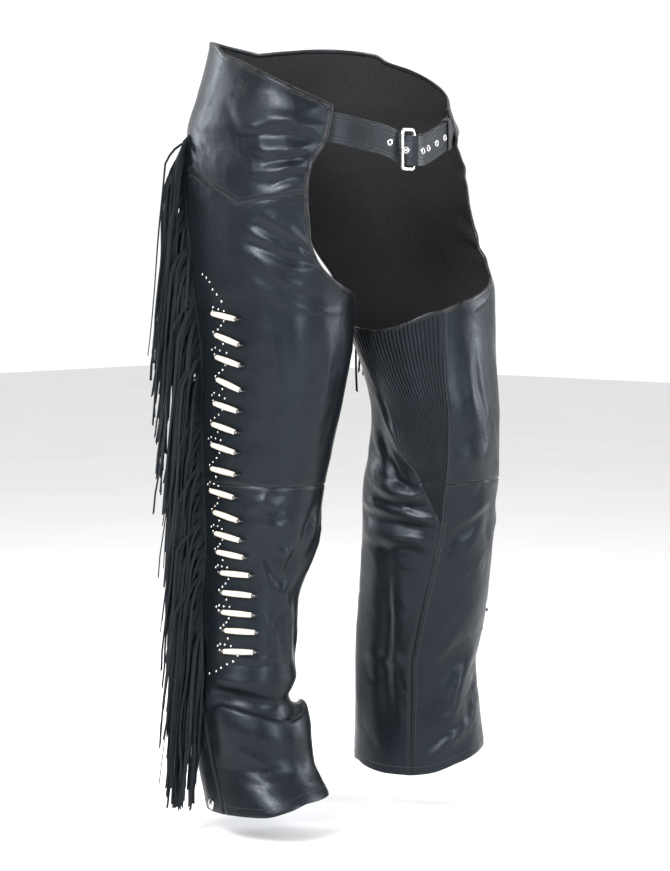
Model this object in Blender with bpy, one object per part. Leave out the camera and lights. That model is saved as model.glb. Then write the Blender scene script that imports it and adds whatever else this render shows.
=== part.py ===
"""Fringed leather chaps, as worn, in metres.

The frame's origin is the middle of the waist opening at belt height, +Z up, the front toward -Y and the
right leg toward -X. Every panel is a patch of one outer form: a place on it is an angle in degrees
(0 outer side, 90 front, 180 inner side, -90 back) and a height in metres above the floor. The form is a
table of rounded sections, the same height rows for the hips of both sides, then one leg each.
"""

import math

import bpy
import numpy as np

WAIST_H = 0.950  # height of the frame's origin above the floor
WALL = 0.0020  # leather wall
SEAM = 0.0002  # each panel stops this far short of a shared seam
CLEAR = 0.0003  # what lies on a panel stands this far off it
SIDES = ("right", "left")
SIGN = {"right": -1.0, "left": 1.0}

# height, centre across, centre fore and aft, half width, half depth front and back, squareness, turn
HIPS = [
    (1.085, 0.000, 0.000, 0.163, 0.118, 0.118, 2.5, 0),
    (1.040, 0.000, 0.000, 0.172, 0.126, 0.128, 2.5, 0),
    (0.990, 0.000, 0.000, 0.184, 0.137, 0.140, 2.5, 0),
    (0.945, 0.000, 0.000, 0.196, 0.146, 0.152, 2.5, 0),
]
SECTIONS = {
    "right": HIPS
    + [
        (0.890, -0.004, 0.002, 0.196, 0.146, 0.156, 2.5, 0),
        (0.840, -0.020, 0.004, 0.180, 0.140, 0.152, 2.4, 0),
        (0.790, -0.052, 0.006, 0.147, 0.128, 0.138, 2.3, 0),
        (0.728, -0.097, 0.007, 0.101, 0.113, 0.116, 2.3, 0),
        (0.652, -0.098, 0.002, 0.095, 0.104, 0.104, 2.3, 0),
        (0.585, -0.102, 0.006, 0.089, 0.098, 0.098, 2.3, 0),
        (0.517, -0.108, 0.012, 0.082, 0.092, 0.092, 2.3, 0),
        (0.467, -0.112, 0.015, 0.077, 0.089, 0.089, 2.2, 1),
        (0.409, -0.117, 0.016, 0.073, 0.087, 0.087, 2.2, 2),
        (0.368, -0.121, 0.023, 0.070, 0.084, 0.084, 2.2, 3),
        (0.314, -0.131, 0.030, 0.066, 0.079, 0.080, 2.2, 3),
        (0.259, -0.135, 0.028, 0.065, 0.077, 0.079, 2.2, 3),
        (0.205, -0.139, 0.028, 0.063, 0.075, 0.078, 2.2, 3),
        (0.150, -0.143, 0.014, 0.065, 0.082, 0.080, 2.2, 3),
        (0.095, -0.145, -0.003, 0.068, 0.091, 0.082, 2.2, 3),
        (0.054, -0.147, -0.022, 0.072, 0.104, 0.084, 2.2, 3),
        (0.010, -0.148, -0.035, 0.075, 0.116, 0.086, 2.2, 3),
    ],
    "left": HIPS
    + [
        (0.890, 0.004, -0.010, 0.196, 0.148, 0.150, 2.5, 0),
        (0.840, 0.020, -0.026, 0.180, 0.142, 0.142, 2.4, 2),
        (0.790, 0.052, -0.050, 0.147, 0.128, 0.126, 2.3, 4),
        (0.728, 0.096, -0.078, 0.101, 0.110, 0.106, 2.3, 6),
        (0.673, 0.098, -0.090, 0.095, 0.100, 0.096, 2.3, 8),
        (0.617, 0.100, -0.104, 0.087, 0.090, 0.088, 2.3, 10),
        (0.563, 0.102, -0.113, 0.082, 0.086, 0.086, 2.3, 12),
        (0.505, 0.106, -0.107, 0.078, 0.090, 0.092, 2.3, 14),
        (0.459, 0.110, -0.098, 0.076, 0.094, 0.096, 2.2, 16),
        (0.407, 0.114, -0.091, 0.074, 0.092, 0.094, 2.2, 18),
        (0.350, 0.118, -0.084, 0.071, 0.090, 0.092, 2.2, 20),
        (0.294, 0.122, -0.076, 0.069, 0.089, 0.091, 2.2, 21),
        (0.237, 0.126, -0.063, 0.067, 0.086, 0.087, 2.2, 22),
        (0.209, 0.128, -0.058, 0.067, 0.083, 0.085, 2.2, 22),
        (0.152, 0.132, -0.057, 0.069, 0.087, 0.089, 2.2, 22),
        (0.110, 0.134, -0.056, 0.071, 0.091, 0.091, 2.2, 22),
        (0.060, 0.136, -0.056, 0.074, 0.096, 0.093, 2.2, 22),
        (0.010, 0.138, -0.056, 0.076, 0.100, 0.095, 2.2, 22),
    ],
}

# Large folds: width and height in millimetres (plus stands out), then places along the fold.
FOLDS = {
    "right": [
        (9, 3.6, [(42, 0.934), (28.5, 0.957), (14, 0.968)]),
        (8, -3.4, [(42, 0.925), (27, 0.939), (10, 0.935)]),
        (9, 3.2, [(40, 0.914), (22, 0.917)]),
        (8, -2.8, [(39, 0.904), (22, 0.905)]),
        (8, 3.0, [(38, 0.894), (21, 0.894)]),
        (7, -2.6, [(38, 0.885), (22, 0.878)]),
        (8, 2.6, [(38, 0.873), (26, 0.862)]),
        (16, 4.0, [(34, 0.975), (18, 0.992), (2, 0.996)]),
        (9, 4.4, [(54, 0.777), (37, 0.806), (22, 0.834)]),
        (7, -4.4, [(58, 0.771), (36, 0.797), (20, 0.820)]),
        (8, 4.2, [(62, 0.766), (41, 0.784), (16, 0.811)]),
        (7, -4.0, [(65, 0.763), (44, 0.773), (18, 0.797)]),
        (9, 3.0, [(68, 0.759), (46, 0.763), (16, 0.785)]),
        (10, 4.0, [(37, 0.446), (48, 0.453), (64, 0.444)]),
        (9, -7.0, [(50, 0.412), (61, 0.377), (73, 0.353), (83, 0.341)]),
        (9, -6.0, [(84, 0.382), (84.5, 0.358), (85.5, 0.342)]),
        (9, 6.0, [(74, 0.392), (77, 0.372)]),
        (8, 4.4, [(87, 0.333), (97, 0.304), (98, 0.264), (104, 0.236)]),
        (9, -3.4, [(106, 0.330), (116, 0.300), (116, 0.262), (120, 0.236)]),
        (10, 3.4, [(48, 0.422), (62, 0.420), (78, 0.424)]),
        (10, -4.0, [(106, 0.452), (95, 0.420), (92, 0.392)]),
        (12, 4.0, [(128, 0.420), (120, 0.380), (112, 0.350)]),
        (16, -3.5, [(50, 0.094), (84, 0.106)]),
        (12, 4.0, [(-70, 0.560), (-110, 0.520), (-150, 0.500)]),
        (11, -5.0, [(-65, 0.505), (-110, 0.478), (-160, 0.470)]),
        (12, 5.0, [(-60, 0.462), (-105, 0.440), (-165, 0.442)]),
        (11, -4.0, [(-60, 0.420), (-110, 0.405), (-160, 0.404)]),
        (14, -4.0, [(-60, 0.230), (-105, 0.214), (-150, 0.220)]),
        (14, 4.0, [(-60, 0.196), (-105, 0.182), (-150, 0.186)]),
    ],
    "left": [
        (9, 4.6, [(211, 0.584), (201, 0.548), (189, 0.519), (175, 0.499), (162, 0.487)]),
        (10, -7.5, [(214, 0.534), (206, 0.500), (195, 0.474), (181, 0.466)]),
        (13, -7.0, [(236, 0.530), (232, 0.508), (210, 0.492)]),
        (10, 7.0, [(222, 0.466), (197, 0.455), (173, 0.449), (160, 0.456)]),
        (9, -4.5, [(214, 0.444), (196, 0.436), (172, 0.434), (158, 0.434)]),
        (9, 5.0, [(238, 0.438), (196, 0.428), (168, 0.421), (149, 0.415)]),
        (10, -5.5, [(236, 0.424), (190, 0.412), (155, 0.405)]),
        (11, 3.6, [(236, 0.396), (210, 0.392), (178, 0.393), (156, 0.384)]),
        (9, -3.0, [(232, 0.380), (208, 0.374), (178, 0.376), (156, 0.362)]),
        (18, 4.0, [(136, 0.490), (118, 0.502), (100, 0.516)]),
        (12, -5.0, [(138, 0.382), (120, 0.412), (104, 0.433)]),
        (9, 5.5, [(130, 0.412), (116, 0.424), (98, 0.444)]),
        (10, -3.5, [(96, 0.424), (94, 0.384)]),
        (20, -6.0, [(154, 0.158), (131, 0.192), (118, 0.226), (104, 0.246)]),
        (10, 4.6, [(154, 0.074), (131, 0.106), (104, 0.134)]),
        (10, 5.0, [(132, 0.108), (126, 0.156), (113, 0.196), (98, 0.222)]),
        (10, -4.0, [(112, 0.118), (104, 0.160), (92, 0.186)]),
        (16, 4.5, [(250, 0.360), (244, 0.240), (238, 0.160), (240, 0.110)]),
        (16, -5.5, [(210, 0.376), (204, 0.276), (202, 0.190), (197, 0.130)]),
        (8, 2.6, [(222, 0.222), (188, 0.216), (170, 0.210)]),
        (9, 3.5, [(42, 0.934), (28, 0.955), (14, 0.966)]),
        (8, -3.2, [(42, 0.924), (27, 0.938), (10, 0.935)]),
        (8, 3.0, [(38, 0.898), (21, 0.896)]),
        (8, -2.6, [(38, 0.886), (22, 0.878)]),
        (9, 4.0, [(45, 0.795), (32, 0.812), (18, 0.832)]),
        (8, -3.8, [(50, 0.786), (34, 0.798), (16, 0.812)]),
        (9, 3.0, [(60, 0.770), (40, 0.780), (14, 0.792)]),
        (11, -4.5, [(20, 0.452), (45, 0.444), (70, 0.440)]),
        (12, 4.5, [(15, 0.428), (45, 0.414), (72, 0.410)]),
        (12, -4.0, [(16, 0.232), (34, 0.226), (56, 0.222)]),
        (12, 4.0, [(16, 0.204), (34, 0.198), (56, 0.192)]),
        (12, -4.0, [(-60, 0.470), (-90, 0.480), (-115, 0.500)]),
    ],
}

# The side seam that carries the fringe: height above the floor, angle.
SIDE_SEAM = [
    (0.960, -24), (0.930, -25), (0.893, -26), (0.860, -26), (0.830, -27), (0.780, -29), (0.738, -32),
    (0.700, -33), (0.650, -34), (0.600, -34), (0.550, -32), (0.520, -30), (0.476, -28), (0.420, -24),
    (0.380, -18), (0.342, -13.5), (0.278, -10), (0.210, -7), (0.150, -6.5), (0.105, -5), (0.040, -3),
]
SCOOP = {
    "right": [
        (38.5, 0.859), (40.5, 0.840), (44, 0.820), (53, 0.787), (66, 0.765), (84.5, 0.747), (100, 0.736),
        (118, 0.726), (127.5, 0.716),
    ],
    "left": [
        (37.5, 0.859), (38, 0.840), (41, 0.818), (45, 0.798), (56, 0.766), (66, 0.748), (78, 0.736),
        (92, 0.726), (110, 0.716), (127.5, 0.706),
    ],
}
YOKE_FRONT = {
    "right": [
        (46, 0.976), (44.5, 0.950), (43, 0.929), (40, 0.911), (38, 0.898), (37.5, 0.878), (38.5, 0.859),
    ],
    "left": [
        (46, 0.976), (43, 0.950), (40, 0.929), (37.5, 0.911), (36.5, 0.898), (36.5, 0.878), (37.5, 0.859),
    ],
}
YOKE_TOP = [
    (-90, 1.056), (-65, 1.062), (-40, 1.066), (-17, 1.059), (-10.5, 1.048), (2, 1.036), (18.5, 1.015),
    (31.5, 0.996), (46, 0.976),
]
YOKE_SEAM = [
    (-56, 0.922), (-40, 0.904), (-26, 0.893), (-12.5, 0.880), (-3, 0.865), (9.5, 0.846), (23.5, 0.852),
]
YOKE_BACK = [(-90, 0.962), (-72, 0.946)]
SEAT = [
    (-145, 0.682), (-128, 0.704), (-108, 0.735), (-90, 0.772), (-76, 0.815), (-66, 0.862), (-60, 0.898),
    (-56, 0.922),
]
STRETCH_TOP = {
    "right": [(127.5, 0.716), (139, 0.703), (161, 0.687), (187, 0.678), (215, 0.682)],
    "left": [(127.5, 0.706), (139, 0.701), (161, 0.686), (187, 0.677), (215, 0.682)],
}
STRETCH_FRONT = [
    (132, 0.665), (137, 0.629), (141, 0.576), (142, 0.519), (143, 0.468), (145.2, 0.440), (145.9, 0.417),
]
STRETCH_BACK = [
    (216.5, 0.655), (214.5, 0.625), (208, 0.598), (201, 0.574), (193, 0.542), (184, 0.509), (168, 0.479),
    (156.5, 0.447), (146.9, 0.417),
]
INSEAM = [(147.6, 0.400), (154, 0.354), (162, 0.299), (167, 0.242), (169, 0.174), (170, 0.130)]
KNEE_SEAM = [(-28, 0.476), (30, 0.474), (60, 0.472), (95, 0.472), (120, 0.471), (143, 0.468)]
HEM = {
    "right": [
        (-3, 0.038), (19, 0.039), (45, 0.041), (66, 0.050), (84, 0.059), (121, 0.061), (170.5, 0.058),
        (215, 0.050), (255, 0.042), (300, 0.037), (357, 0.038),
    ],
    "left": [
        (-3, 0.052), (30, 0.078), (60, 0.092), (80, 0.091), (122, 0.076), (150, 0.062), (170.5, 0.058),
        (200, 0.059), (227, 0.065), (240, 0.070), (290, 0.060), (357, 0.052),
    ],
}

# Bead ends on the thigh and shin, top to bottom: angle and height of the end by the fringe, then of the
# front end.
BEADS = [
    (-9.5, 0.703, 16.5, 0.696), (-8.5, 0.675, 17.5, 0.662), (-10.5, 0.646, 19.0, 0.634),
    (-9.0, 0.616, 20.5, 0.601), (-12.5, 0.584, 20.0, 0.573), (-14.0, 0.556, 20.0, 0.545),
    (-13.5, 0.528, 21.0, 0.518), (-13.5, 0.496, 23.5, 0.489), (-14.0, 0.466, 24.0, 0.458),
    (-8.0, 0.438, 30.5, 0.427), (-6.0, 0.410, 35.5, 0.401), (1.0, 0.385, 42.5, 0.379),
    (11.0, 0.357, 52.0, 0.355), (19.0, 0.331, 58.5, 0.328), (20.5, 0.305, 60.5, 0.302),
    (23.5, 0.281, 64.0, 0.279), (22.5, 0.253, 62.5, 0.253),
]
BEAD_RINGS = ((0.0, 0.0031), (0.5, 0.0045), (1.0, 0.0031))
BEAD_SIDES = 6
BEAD_LONGEST = 0.041
BEAD_SETTLED = {("left", 10): 0.0006, ("right", 17): 0.0006}  # beads over a fold, pressed down into it

FRINGE_TOP, FRINGE_LOW, STRANDS = 0.936, 0.206, 80
LANES = (0, 4, 1, 5, 2, 6, 3, 7)  # lateral place of each strand in turn, in lane widths
LANE_WIDTH = 0.0050
STRAND_WIDE, STRAND_THICK = 0.0040, 0.0018
STRAND_BEND, STRAND_REACH = 0.040, 0.028  # this far below its root a strand has swung out this far
STRAND_LEAN = 0.10  # reach gained per metre of fall below the bend
STRAND_APART = 0.0048
STRAND_LONG = (0.258, 0.296)
STRAND_CLEAR = (0.030, 0.050)  # least and most height of a low strand's tip above the floor
STRIP = ((0.0031, -0.0011), (0.0031, 0.0011), (0.0012, 0.0026), (0.0012, -0.0026))  # height, place forward

BELT_WIDE, BELT_THICK = 0.040, 0.0025
BUCKLE_HIGH, BUCKLE_ROD = 0.052, 0.0020
BUCKLE_CORNER = 0.005
PRONG_ROD = 0.0014
HIP_METRE = math.radians(1) * 0.1475  # along the hips per degree near the front
BELT_LEVEL = [
    (24, 0.958), (46, 0.947), (60, 0.939), (77, 0.930), (85, 0.923), (90, 0.919), (98, 0.918), (107, 0.922),
    (115, 0.929), (123, 0.937), (131, 0.945), (156, 0.960),
]
# middle of the strap's thickness out from the hips' form, by angle
OVER = [
    (24, -0.0106), (42, -0.0104), (48, -0.0076), (57, -0.0050), (66, -0.0044), (82, -0.0036),
    (87, -0.0030), (90, -0.0006), (94, 0.0046), (96.4, 0.0068), (99.4, 0.0068), (102, 0.0048),
    (106, 0.0014), (111, -0.0002), (136, -0.0006),
]
UNDER = [
    (97.8, 0.0023), (99.8, 0.0021), (101.4, 0.0012), (105, -0.0026), (110, -0.0036), (126, -0.0041),
    (130, -0.0056), (134, -0.0094), (140, -0.0104), (156, -0.0108),
]
HEEL = (97.0, -0.0012)
OUTER_BAR = (86.2, 0.0022)
EYELETS = (78.5, 90.0, 99.8, 107.5, 115.5, 123.5)
EYELET_HOLE = 0.0028
KEEPER = (125.6, 129.2)
KEEPER_WALL = 0.0016
SNAP_ANGLE = -24.0
SNAP_LEVEL = {"right": 0.047, "left": 0.064}
SNAP_RINGS = ((0.0, 0.0070), (0.0010, 0.0075), (0.0024, 0.0058), (0.0030, 0.0022))  # height, radius
SNAP_SIDES = 9
RIBS = 21
RIB_HEIGHT = 0.0010

# colour, roughness, metallic of each solid by the start of its name
FINISHES = {
    "stretch_panel": ((0.010, 0.010, 0.011), 0.50, 0.0),
    "fringe": ((0.018, 0.018, 0.020), 0.85, 0.0),
    "bead": ((0.78, 0.73, 0.62), 0.32, 0.0),
    "snap": ((0.72, 0.71, 0.69), 0.28, 1.0),
    "belt_buckle_frame": ((0.72, 0.71, 0.69), 0.24, 1.0),
    "belt_prong": ((0.72, 0.71, 0.69), 0.24, 1.0),
    "belt": ((0.016, 0.016, 0.017), 0.48, 0.0),
    "": ((0.012, 0.012, 0.013), 0.40, 0.0),
}


def pchip(xs, ys, x):
    """Shape-keeping cubic through rows ys at rising xs."""
    xs, ys, x = np.asarray(xs, float), np.asarray(ys, float), np.asarray(x, float)
    h = np.diff(xs)[:, None]
    delta = np.diff(ys, axis=0) / h
    slope = np.zeros_like(ys)
    same = (delta[:-1] * delta[1:]) > 0
    w1, w2 = 2 * h[1:] + h[:-1], h[1:] + 2 * h[:-1]
    safe0, safe1 = np.where(same, delta[:-1], 1.0), np.where(same, delta[1:], 1.0)
    slope[1:-1] = np.where(same, (w1 + w2) / (w1 / safe0 + w2 / safe1), 0.0)
    slope[0], slope[-1] = delta[0], delta[-1]
    k = np.clip(np.searchsorted(xs, x, side="right") - 1, 0, len(xs) - 2)
    t = ((x - xs[k]) / h[k, 0])[..., None]
    return (
        (1 + 2 * t) * (1 - t) ** 2 * ys[k]
        + t * (1 - t) ** 2 * h[k] * slope[k]
        + t * t * (3 - 2 * t) * ys[k + 1]
        + t * t * (t - 1) * h[k] * slope[k + 1]
    )


def smooth(x):
    """Smooth step from 0 to 1."""
    x = np.clip(x, 0.0, 1.0)
    return x * x * (3 - 2 * x)


def section_rows(side, h):
    """Values of a side's section table at each height."""
    table = np.array(SECTIONS[side][::-1], float)
    return np.moveaxis(pchip(table[:, 0], table[:, 1:], h), -1, 0)


def fold_offset(side, phi, h):
    """Sum of the fold ridges and valleys at each place."""
    reach = np.interp(h, [0.72, 0.86], [0.088, 0.168])
    total = np.zeros_like(phi)
    for width, height, line in FOLDS[side]:
        centre = line[len(line) // 2][0]
        wrapped = phi + 360.0 * np.round((centre - phi) / 360.0)
        x, y = np.radians(wrapped) * reach, h
        best = np.full(phi.shape, 1e9)
        share = np.zeros(phi.shape)
        pieces = len(line) - 1
        for i in range(pieces):
            ax, ay = np.radians(line[i][0]) * reach, line[i][1]
            bx, by = np.radians(line[i + 1][0]) * reach, line[i + 1][1]
            run, rise = bx - ax, by - ay
            t = np.clip(((x - ax) * run + (y - ay) * rise) / (run**2 + rise**2), 0, 1)
            d = np.hypot(x - ax - t * run, y - ay - t * rise)
            nearer = d < best
            best = np.where(nearer, d, best)
            share = np.where(nearer, (i + t) / pieces, share)
        ends = 0.35 + 0.65 * np.sin(math.pi * np.clip(share * 0.8 + 0.1, 0, 1))
        total += height * 1e-3 * ends * np.exp(-((best / (width * 1e-3)) ** 2))
    return total


# The right ankle is tucked: nominal height above the floor, real height less the lip's, offset out.
TUCK = [
    (0.236, 0.236, 0.0), (0.222, 0.222, 0.0025), (0.210, 0.210, 0.0045), (0.200, 0.199, 0.0015),
    (0.192, 0.190, -0.0050), (0.184, 0.1815, -0.0078), (0.176, 0.1725, -0.0072), (0.169, 0.1655, -0.0025),
    (0.162, 0.1660, 0.0045), (0.155, 0.1710, 0.0092), (0.147, 0.1665, 0.0135), (0.136, 0.149, 0.0118),
    (0.118, 0.123, 0.0055), (0.098, 0.098, 0.0),
]
LIP_DROP = [
    (-6, 0.020), (21, 0.014), (40, 0.010), (59, 0.001), (73, -0.006), (88, -0.012), (107, -0.004),
    (128, 0.008), (175, 0.012),
]


def tuck(phi, h):
    """Real height and offset of the right ankle's fold over itself."""
    rows = np.array(TUCK[::-1])
    inside = (h > rows[0, 0]) & (h < rows[-1, 0])
    real = pchip(rows[:, 0], rows[:, 1:], np.clip(h, rows[0, 0], rows[-1, 0]))
    amount = smooth((phi + 8) / 36) * smooth((172 - phi) / 38)
    shift = np.interp(phi, [p for p, _ in LIP_DROP], [s for _, s in LIP_DROP])
    shape = np.sin(math.pi * np.clip((h - rows[0, 0]) / (rows[-1, 0] - rows[0, 0]), 0, 1)) ** 2
    new_h = h + amount * ((real[..., 0] - h) + shift * shape)
    return np.where(inside, new_h, h), np.where(inside, amount * real[..., 1], 0.0)


def place(side, phi, h, off=0.0):
    """Point of the outer form at each angle and nominal height, moved out by off."""
    phi, h = np.broadcast_arrays(np.asarray(phi, float), np.asarray(h, float))
    around = (phi + 180.0) % 360.0 - 180.0
    off = off + fold_offset(side, around, h)
    if side == "right":
        inner = np.where(around < -90, around + 360, around)
        h, more = tuck(inner, h)
        off = off + more
    cx, cy, a, front, back, n, turn = section_rows(side, h)
    c, s = np.cos(np.radians(phi)), np.sin(np.radians(phi))
    b = np.where(s > 0, front, back)
    r = (np.abs(c / a) ** n + np.abs(s / b) ** n) ** (-1 / n) + off
    x, y, t = r * c, -r * s, np.radians(turn)
    out, fore = x * np.cos(t) - y * np.sin(t), x * np.sin(t) + y * np.cos(t)
    return np.stack([cx + SIGN[side] * out, cy + fore, h - WAIST_H], -1)


def facing(side, phi, h):
    """Unit normal out of the form."""
    dp, dh = 0.4, 0.0012
    across = place(side, np.asarray(phi) + dp, h) - place(side, np.asarray(phi) - dp, h)
    along = place(side, phi, np.asarray(h) + dh) - place(side, phi, np.asarray(h) - dh)
    normal = np.cross(across, along) * -SIGN[side]
    return normal / np.linalg.norm(normal, axis=-1, keepdims=True)


def finish_for(name):
    """A solid's own material, from the first row of FINISHES that its name starts with."""
    colour, roughness, metallic = next(row for start, row in FINISHES.items() if name.startswith(start))
    material = bpy.data.materials.new(f"{name}_finish")
    material.use_nodes = True
    shader = material.node_tree.nodes["Principled BSDF"]
    shader.inputs["Base Color"].default_value = (*colour, 1.0)
    shader.inputs["Roughness"].default_value = roughness
    shader.inputs["Metallic"].default_value = metallic
    return material


def add_mesh(name, points, faces):
    """Add an object with smooth shading and its own material."""
    mesh = bpy.data.meshes.new(name)
    mesh.from_pydata([tuple(map(float, p)) for p in points], [], [tuple(int(i) for i in f) for f in faces])
    mesh.validate()
    mesh.polygons.foreach_set("use_smooth", [True] * len(mesh.polygons))
    mesh.update()
    mesh.materials.append(finish_for(name))
    item = bpy.data.objects.new(name, mesh)
    bpy.context.scene.collection.objects.link(item)
    return item


def signed_volume(points, faces):
    """Six times the volume of a closed mesh, negative where its faces point in."""
    total = 0.0
    for f in faces:
        for k in range(1, len(f) - 1):
            total += np.dot(points[f[0]], np.cross(points[f[k]], points[f[k + 1]]))
    return total


def add_closed(name, points, faces):
    """Add a closed mesh, its faces turned out."""
    points = np.asarray(points, float)
    if signed_volume(points, faces) < 0:
        faces = [tuple(reversed(f)) for f in faces]
    return add_mesh(name, points, faces)


def split(a, b, c, d, outer):
    """Two triangles on a quad's shorter diagonal."""
    pa, pb, pc, pd = (outer[k] for k in (a, b, c, d))
    if np.linalg.norm(pa - pc) <= np.linalg.norm(pb - pd):
        return [(a, b, c), (a, c, d)]
    return [(a, b, d), (b, c, d)]


def nearest_corner(corners, point):
    """Which of four corners is nearest to a point."""
    return min(range(4), key=lambda q: np.linalg.norm(corners[q] - point))


def slab(name, outer, inner, missing=(), holes=None):
    """Closed wall between two grids of points, with cells left out and round holes in given cells."""
    rows, cols = outer.shape[:2]
    size = rows * cols
    points = [*outer.reshape(-1, 3), *inner.reshape(-1, 3)]
    faces = []
    holes = holes or {}
    present = {(i, j) for i in range(rows - 1) for j in range(cols - 1)} - set(missing)
    for i, j in sorted(present):
        a, b, c, d = i * cols + j, i * cols + j + 1, (i + 1) * cols + j + 1, (i + 1) * cols + j
        if (i, j) in holes:
            rings = holes[(i, j)]
            count = len(rings[0])
            start = len(points)
            points += [*rings[0], *rings[1]]
            corner = [a, b, c, d]
            for layer in (0, 1):
                base, step = start + layer * count, size * layer
                opposite = [points[q + step] for q in corner]
                near = [nearest_corner(opposite, points[base + k]) for k in range(count)]
                for k in range(count):
                    n = (k + 1) % count
                    tri = [(corner[near[k]] + step, base + n, base + k)]
                    if near[n] != near[k]:
                        tri.append((corner[near[k]] + step, corner[near[n]] + step, base + n))
                    faces += tri if layer == 0 else [tuple(reversed(f)) for f in tri]
            for k in range(count):
                n = (k + 1) % count
                faces.append((start + k, start + n, start + count + n, start + count + k))
            continue
        for f in split(a, b, c, d, points):
            faces.append(f)
        for f in split(a + size, b + size, c + size, d + size, points):
            faces.append(tuple(reversed(f)))
    edges = {
        (-1, 0): lambda i, j: (i * cols + j, i * cols + j + 1),
        (0, 1): lambda i, j: (i * cols + j + 1, (i + 1) * cols + j + 1),
        (1, 0): lambda i, j: ((i + 1) * cols + j + 1, (i + 1) * cols + j),
        (0, -1): lambda i, j: ((i + 1) * cols + j, i * cols + j),
    }
    for i, j in sorted(present):
        for (di, dj), ends in edges.items():
            if (i + di, j + dj) not in present:
                p, q = ends(i, j)
                faces.append((q, p, p + size, q + size))
    used = sorted({k for f in faces for k in f})
    renumber = {k: n for n, k in enumerate(used)}
    return add_closed(name, [points[k] for k in used], [tuple(renumber[k] for k in f) for f in faces])


def ribbed_slab(name, outer, inner, step):
    """Closed wall whose inner face has one column to every step columns of the outer face."""
    rows, cols = outer.shape[:2]
    few = inner.shape[1]
    size = rows * cols
    points = [*outer.reshape(-1, 3), *inner.reshape(-1, 3)]
    faces = []
    for i in range(rows - 1):
        for j in range(cols - 1):
            first, below = i * cols + j, (i + 1) * cols + j
            faces += split(first, first + 1, below + 1, below, points)
        for j in range(few - 1):
            a, b = size + i * few + j, size + (i + 1) * few + j
            faces += [tuple(reversed(f)) for f in split(a, a + 1, b + 1, b, points)]
    for i in range(rows - 1):
        a, b, c, d = i * cols, (i + 1) * cols, size + (i + 1) * few, size + i * few
        faces += [(a, b, c), (a, c, d)]
        a, b = i * cols + cols - 1, (i + 1) * cols + cols - 1
        c, d = size + (i + 1) * few + few - 1, size + i * few + few - 1
        faces += [(a, c, b), (a, d, c)]
    for row, flip in ((0, False), (rows - 1, True)):
        for j in range(few - 1):
            first, low = row * cols + j * step, size + row * few + j
            half = step // 2
            fan = [(low, first + k, first + k + 1) for k in range(half)] + [(low, first + half, low + 1)]
            fan += [(low + 1, first + k, first + k + 1) for k in range(half, step)]
            faces += [tuple(reversed(f)) for f in fan] if not flip else fan
    return add_closed(name, points, faces)


def along(line, shares, metric=0.10):
    """Points at shares of the length of a line of (angle, height) places."""
    line = np.array(line, float)
    steps = np.hypot(np.radians(np.diff(line[:, 0])) * metric, np.diff(line[:, 1]))
    length = np.concatenate([[0], np.cumsum(steps)])
    at = np.asarray(shares) * length[-1]
    return np.stack([np.interp(at, length, line[:, 0]), np.interp(at, length, line[:, 1])], -1)


def nodes(line, *counts_and_ends):
    """Places along a line, by pairs of an end share and the steps up to it, or by one number of steps."""
    if len(counts_and_ends) == 1 and isinstance(counts_and_ends[0], int):
        counts_and_ends = ((1.0, counts_and_ends[0]),)
    shares = [0.0]
    for end, count in counts_and_ends:
        shares += list(np.linspace(shares[-1], end, count + 1)[1:])
    return along(line, shares)


def join(first, *others):
    """Lines of places end to end, each taking up at the last place of the one before."""
    out = np.asarray(first, float)
    for other in others:
        out = np.concatenate([out, np.asarray(other, float)[1:]])
    return out


def share_of_length(line, metric=0.10):
    """Running length of a line of places as a share of the whole."""
    steps = np.hypot(np.radians(np.diff(line[:, 0])) * metric, np.diff(line[:, 1]))
    length = np.concatenate([[0], np.cumsum(steps)])
    return length / length[-1]


def patch(top, bottom, left, right):
    """Coons patch between four lines of nodes: rows from top to bottom, columns from left to right."""
    us = (share_of_length(top) + share_of_length(bottom)) / 2
    vs = (share_of_length(left) + share_of_length(right)) / 2
    u, v = us[None, :, None], vs[:, None, None]
    return (
        (1 - v) * top[None] + v * bottom[None] + (1 - u) * left[:, None] + u * right[:, None]
        - (1 - u) * (1 - v) * top[0] - u * (1 - v) * top[-1] - (1 - u) * v * bottom[0] - u * v * bottom[-1]
    )


def inset(side, grid, edges):
    """Draw the named edges of a patch in by the seam allowance."""
    grid = grid.copy()
    for edge in edges:
        row = {"top": grid[0], "bottom": grid[-1], "left": grid[:, 0], "right": grid[:, -1]}[edge]
        next_row = {"top": grid[1], "bottom": grid[-2], "left": grid[:, 1], "right": grid[:, -2]}[edge]
        apart = place(side, *row.T) - place(side, *next_row.T)
        gap = np.linalg.norm(apart, axis=-1, keepdims=True)
        row += (next_row - row) * SEAM / gap
    return grid


def panel(name, side, grid, edges):
    """Add a panel: a wall of the leather's thickness behind the form, drawn in at its seams."""
    grid = inset(side, grid, edges)
    phi, h = grid[..., 0], grid[..., 1]
    base, normal = place(side, phi, h), facing(side, phi, h)
    return slab(name, base, base - normal * WALL)


def side_seam(low, high, count=40):
    """The side seam from high to low as places."""
    hs = np.linspace(high, low, count)
    table = np.array(SIDE_SEAM[::-1])
    return [(float(p), float(h)) for p, h in zip(pchip(table[:, 0], table[:, 1:], hs)[..., 0], hs)]


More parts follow.
